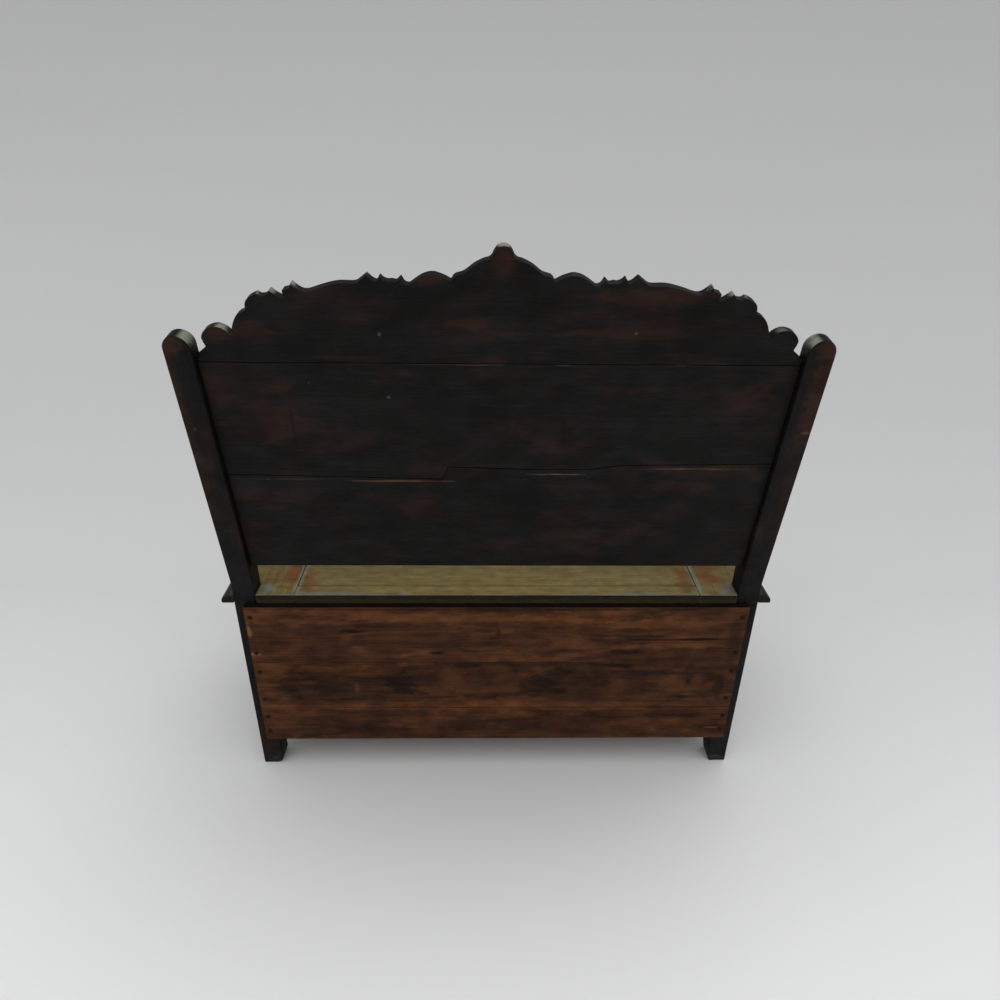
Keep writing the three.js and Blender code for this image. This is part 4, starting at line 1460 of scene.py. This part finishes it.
@dataclass
class BackFrame:
    """The rear posts, the two back boards and the crest board."""

    palette: Palette
    post_rounding: float = 2.6 * MM
    foot_roundings: tuple[float, float] = (14.0 * MM, 8.0 * MM)
    foot_tapers: tuple[float, float] = (0.5 * MM, 6.0 * MM)
    foot_wear_height: float = 36 * MM
    board_rounding: float = 1.6 * MM
    split_ridge: float = 1.3 * MM
    split_clear: float = 60 * MM
    crest_voxel: float = 1.5 * MM
    crest_smoothing: int = 1
    crest_share_kept: float = 0.5
    carving: CrestCarving = CrestCarving()

    def build(self) -> None:
        """Builds and dresses the back."""
        post_look = Look(self.palette.post_oak, Slot.OAK, Grain.UPRIGHT)
        board_look = Look(self.palette.back_oak, Slot.OAK, Grain.ACROSS)
        for node, rounding, taper in zip(both_sides("rear_post"), self.foot_roundings, self.foot_tapers):
            post = frame_copy(node)
            wear_foot(post, rounding, taper, self.foot_wear_height)
            round_arrises(post, self.post_rounding)
            finish_piece(post, post_look, node)
        for node in ("back_board_lower", "back_board_upper"):
            board = frame_copy(node)
            self._ridge_split(board, upper=node == "back_board_upper")
            round_arrises(board, self.board_rounding)
            finish_piece(board, board_look, node)
        finish_piece(self._crest(), board_look, "crest_board")

    def _ridge_split(self, board: Piece, upper: bool) -> None:
        """Gives the split's face a low ridge along its length, which keeps light from passing through.

        Args:
            board: A back board.
            upper: Whether it lies above the split.
        """
        rearward = Vector((0, math.cos(BACK_RAKE), -math.sin(BACK_RAKE)))
        upward = Vector((0, math.sin(BACK_RAKE), math.cos(BACK_RAKE)))
        depths = [point.co.dot(rearward) for point in board.data.vertices]
        heights = [point.co.dot(upward) for point in board.data.vertices]
        middle = (min(depths) + max(depths)) / 2
        far_edge = max(heights) if upper else min(heights)
        with editing(board):
            bpy.ops.mesh.select_all(action="SELECT")
            bpy.ops.mesh.bisect(plane_co=rearward * middle, plane_no=rearward)
            select_where(
                board,
                "VERT",
                lambda point: abs(point.co.dot(rearward) - middle) < MERGE_DISTANCE
                and abs(point.co.dot(upward) - far_edge) > self.split_clear,
            )
            bpy.ops.transform.translate(value=upward * self.split_ridge)

    def _crest(self) -> Piece:
        """Turns the crest upright, gives it a worn and carved surface and leans it back again."""
        crest = frame_copy("crest_board")
        upright = Matrix.Rotation(BACK_RAKE, 4, "X")
        place(crest, upright)
        apply_modifier(crest, "REMESH", mode="VOXEL", voxel_size=self.crest_voxel)
        apply_modifier(crest, "SMOOTH", factor=0.5, iterations=self.crest_smoothing)
        self.carving.cut(crest)
        apply_modifier(crest, "DECIMATE", decimate_type="COLLAPSE", ratio=self.crest_share_kept)
        place(crest, upright.inverted())
        return crest


@dataclass
class Seat:
    """The fixed pieces of the seat."""

    palette: Palette
    rounding: float = 2.0 * MM

    def build(self) -> None:
        """Builds and dresses the seat."""
        for node in both_sides("seat_side"):
            dress(node, Look(self.palette.seat_wax, Slot.SEAT, Grain.FLAT_FORWARD), self.rounding)
        dress("seat_rear_strip", Look(self.palette.seat_wax, Slot.SEAT, Grain.FLAT_ACROSS), self.rounding)


@dataclass
class Lid:
    """The lift-up lid, its battens, screws and pins."""

    palette: Palette
    rounding: float = 1.2 * MM
    batten_rounding: float = 2.0 * MM

    def build(self) -> None:
        """Builds and dresses the lid."""
        lid_look = Look(self.palette.seat_wax, Slot.SEAT, Grain.FLAT_ACROSS, Body.LID)
        dress("seat_lid", lid_look, self.rounding)
        batten_look = Look(self.palette.bare_pine, Slot.PINE, Grain.FLAT_FORWARD, Body.LID)
        for node in both_sides("lid_batten"):
            dress(node, batten_look, self.batten_rounding)
        for node in (*both_sides("lid_pin"), *(f"batten_screw_{number}" for number in range(1, 5))):
            give_material(node, self.palette.iron)


@dataclass
class Box:
    """The front legs, rails, panels, rear boards and floor of the box."""

    palette: Palette
    rounding: float = 1.6 * MM
    board_rounding: float = 0.8 * MM
    foot_rounding: float = 7.0 * MM
    foot_taper: float = 3.0 * MM
    foot_wear_height: float = 36 * MM
    crack_width: float = 2.8 * MM
    crack_depth: float = 5.0 * MM
    crack_start: float = -215 * MM
    crack_heights: tuple[float, float] = (53 * MM, 60 * MM)

    def build(self) -> None:
        """Builds and dresses the box."""
        for node in both_sides("front_leg"):
            leg = frame_copy(node)
            wear_foot(leg, self.foot_rounding, self.foot_taper, self.foot_wear_height)
            round_arrises(leg, self.rounding)
            finish_piece(leg, self._oak(Grain.UPRIGHT), node)
        for node in ("front_rail_top", "front_rail_bottom", *both_sides("front_panel")):
            dress(node, self._oak(Grain.ACROSS), self.rounding)
        dress("front_muntin", self._oak(Grain.UPRIGHT), self.rounding)
        for stem in ("side_rail_top", "side_rail_bottom", "side_panel"):
            for node in both_sides(stem):
                dress(node, self._oak(Grain.FORE_AND_AFT), self.rounding)
        self._rear()
        self._inside()

    def _oak(self, grain: Grain) -> Look:
        """The look of an oak piece with a given grain."""
        return Look(self.palette.front_oak, Slot.OAK, grain)

    def _rear(self) -> None:
        """Dresses the rear rails and boards and the nails that hold them."""
        stained = Look(self.palette.box_pine, Slot.PINE, Grain.ACROSS)
        dress("rear_rail_top", stained, self.rounding)
        dress("rear_rail_bottom", replace(stained, material=self.palette.bare_pine), self.rounding)
        for node in ("rear_board_lower", "rear_board_middle", "rear_board_upper"):
            board = frame_copy(node)
            round_arrises(board, self.board_rounding)
            if node == "rear_board_upper":
                self._crack(board)
            finish_piece(board, stained, node)
        for number in range(1, 7):
            for node in both_sides(f"rear_nail_{number}"):
                give_material(node, self.palette.nail_iron)

    def _crack(self, board: Piece) -> None:
        """Cuts the long crack that runs out at one end of the upper rear board.

        Args:
            board: That board.
        """
        low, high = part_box("rear_board_upper")
        start, end = (
            Vector((x, high.y, low.z + height))
            for x, height in zip((self.crack_start, low.x - MM), self.crack_heights)
        )
        Crack(start, end, self.crack_width, self.crack_depth).cut(board, seed=5)

    def _inside(self) -> None:
        """Dresses the floor of the box and its bearers."""
        bare = Look(self.palette.bare_pine, Slot.PINE, Grain.FLAT_FORWARD)
        for node in (*both_sides("floor_bearer"), "floor_bearer_middle"):
            dress(node, bare, self.board_rounding)
        for number in range(1, 4):
            dress(f"floor_board_{number}", replace(bare, grain=Grain.FLAT_ACROSS), self.board_rounding)


@dataclass
class Arms:
    """The two arms and the turned supports under them."""

    palette: Palette
    arm_rounding: float = 5.0 * MM

    def build(self) -> None:
        """Builds and dresses the arms."""
        for node in both_sides("arm"):
            arm = frame_copy(node)
            self._round_sides(arm)
            smooth_facets(arm)
            finish_piece(arm, Look(self.palette.front_oak, Slot.OAK, Grain.FORE_AND_AFT), node)
        for node in both_sides("arm_support"):
            support = frame_copy(node)
            smooth_facets(support)
            finish_piece(support, Look(self.palette.front_oak, Slot.OAK, Grain.UPRIGHT), node)

    def _round_sides(self, arm: Piece) -> None:
        """Rounds the long edges of an arm, which lie in its two side faces.

        Args:
            arm: The arm, with plain square edges.
        """
        sides = {corner[0] for corner in arm.bound_box}

        def is_long(edge: bmesh.types.BMEdge) -> bool:
            """Tells whether an edge lies in a side face."""
            return any(
                all(abs(point.co.x - side) < MERGE_DISTANCE for point in edge.verts) for side in sides
            )

        round_arrises(arm, self.arm_rounding, shortest=0, where=is_long)


@dataclass
class Studio:
    """The pale floor that rises into a wall, the soft lights and the camera."""

    palette: Palette
    floor_radius: float = 3.2
    cove_radius: float = 7.0
    cove_steps: int = 24
    floor_corners: int = 128
    sky_colour: Colour = (0.98, 0.99, 1.0)
    sky_strength: float = 0.5
    lens: float = 25.93
    camera_place: Vector = field(default_factory=lambda: Vector((0.0237, 1.3246, 1.2476)))
    camera_heading: float = math.radians(178.743)
    camera_drop: float = math.radians(27.502)
    camera_roll: float = math.radians(0.742)

    def build(self) -> None:
        """Builds the studio."""
        self._floor()
        self._sky()
        self._sun("front_sun", Vector((-1.2, -1.5, 2.6)), spread=50, strength=0.45)
        self._sun("top_sun", Vector((0.2, 0.7, 3.0)), spread=80, strength=1.5)
        self._camera()

    def _floor(self) -> None:
        """Makes one round floor that curves up into a wall."""
        bpy.ops.mesh.primitive_circle_add(
            vertices=self.floor_corners, radius=self.floor_radius, fill_type="NGON"
        )
        floor = bpy.context.object
        floor.name = "studio_floor"
        with editing(floor) as mesh:
            for edge in mesh.edges:
                edge.select_set(True)
            bpy.ops.mesh.select_mode(type="EDGE")
            radius, height = self.floor_radius, 0.0
            for step in range(1, self.cove_steps + 1):
                angle = step / self.cove_steps * math.pi / 2
                next_radius = self.floor_radius + self.cove_radius * math.sin(angle)
                next_height = self.cove_radius * (1 - math.cos(angle))
                self._ring(next_radius / radius, next_height - height)
                radius, height = next_radius, next_height
            bpy.ops.mesh.select_all(action="SELECT")
            bpy.ops.mesh.normals_make_consistent(inside=True)
        activate(floor)
        bpy.ops.object.shade_smooth()
        floor.data.materials.append(self.palette.floor)

    @staticmethod
    def _ring(growth: float, rise: float) -> None:
        """Extrudes the selected rim outwards and upwards."""
        bpy.ops.mesh.extrude_edges_move(TRANSFORM_OT_translate={"value": (0, 0, rise)})
        bpy.ops.transform.resize(value=(growth, growth, 1), center_override=(0, 0, 0))

    def _sky(self) -> None:
        """Adds an even soft sky."""
        world = bpy.data.worlds.new("soft_sky")
        bpy.context.scene.world = world
        world.use_nodes = True
        sky = world.node_tree.nodes["Background"]
        sky.inputs["Color"].default_value = rgba(self.sky_colour)
        sky.inputs["Strength"].default_value = self.sky_strength

    @staticmethod
    def _sun(name: str, spot: Vector, spread: float, strength: float) -> None:
        """Adds a soft sunlight.

        Args:
            name: Its name.
            spot: The direction that it comes from.
            spread: How wide its disc is, in degrees.
            strength: Its strength.
        """
        data = bpy.data.lights.new(name, "SUN")
        data.angle = math.radians(spread)
        data.energy = strength
        lamp = bpy.data.objects.new(name, data)
        bpy.context.scene.collection.objects.link(lamp)
        lamp.matrix_world = Matrix.Translation(spot) @ spot.to_track_quat("Z", "Y").to_matrix().to_4x4()

    def _camera(self) -> None:
        """Places the camera at the photograph's viewing angle."""
        data = bpy.data.cameras.new("camera")
        data.lens = self.lens
        camera = bpy.data.objects.new("camera", data)
        bpy.context.scene.collection.objects.link(camera)
        turn = Matrix.Rotation(self.camera_heading, 4, "Z")
        tilt = Matrix.Rotation(math.pi / 2 - self.camera_drop, 4, "X")
        roll = Matrix.Rotation(self.camera_roll, 4, "Z")
        camera.matrix_world = Matrix.Translation(self.camera_place) @ turn @ tilt @ roll
        bpy.context.scene.camera = camera
        bpy.context.scene.view_settings.view_transform = "Standard"


def main() -> None:
    """Builds the bench's sub-assemblies in order, then the studio."""
    logging.basicConfig(level=logging.INFO, format="%(name)s: %(message)s")
    palette = Palette()
    for assembly in (BackFrame(palette), Seat(palette), Lid(palette), Box(palette), Arms(palette)):
        assembly.build()
        log.info("%s is dressed", type(assembly).__name__)
    Studio(palette).build()


if __name__ == "__main__":
    main()
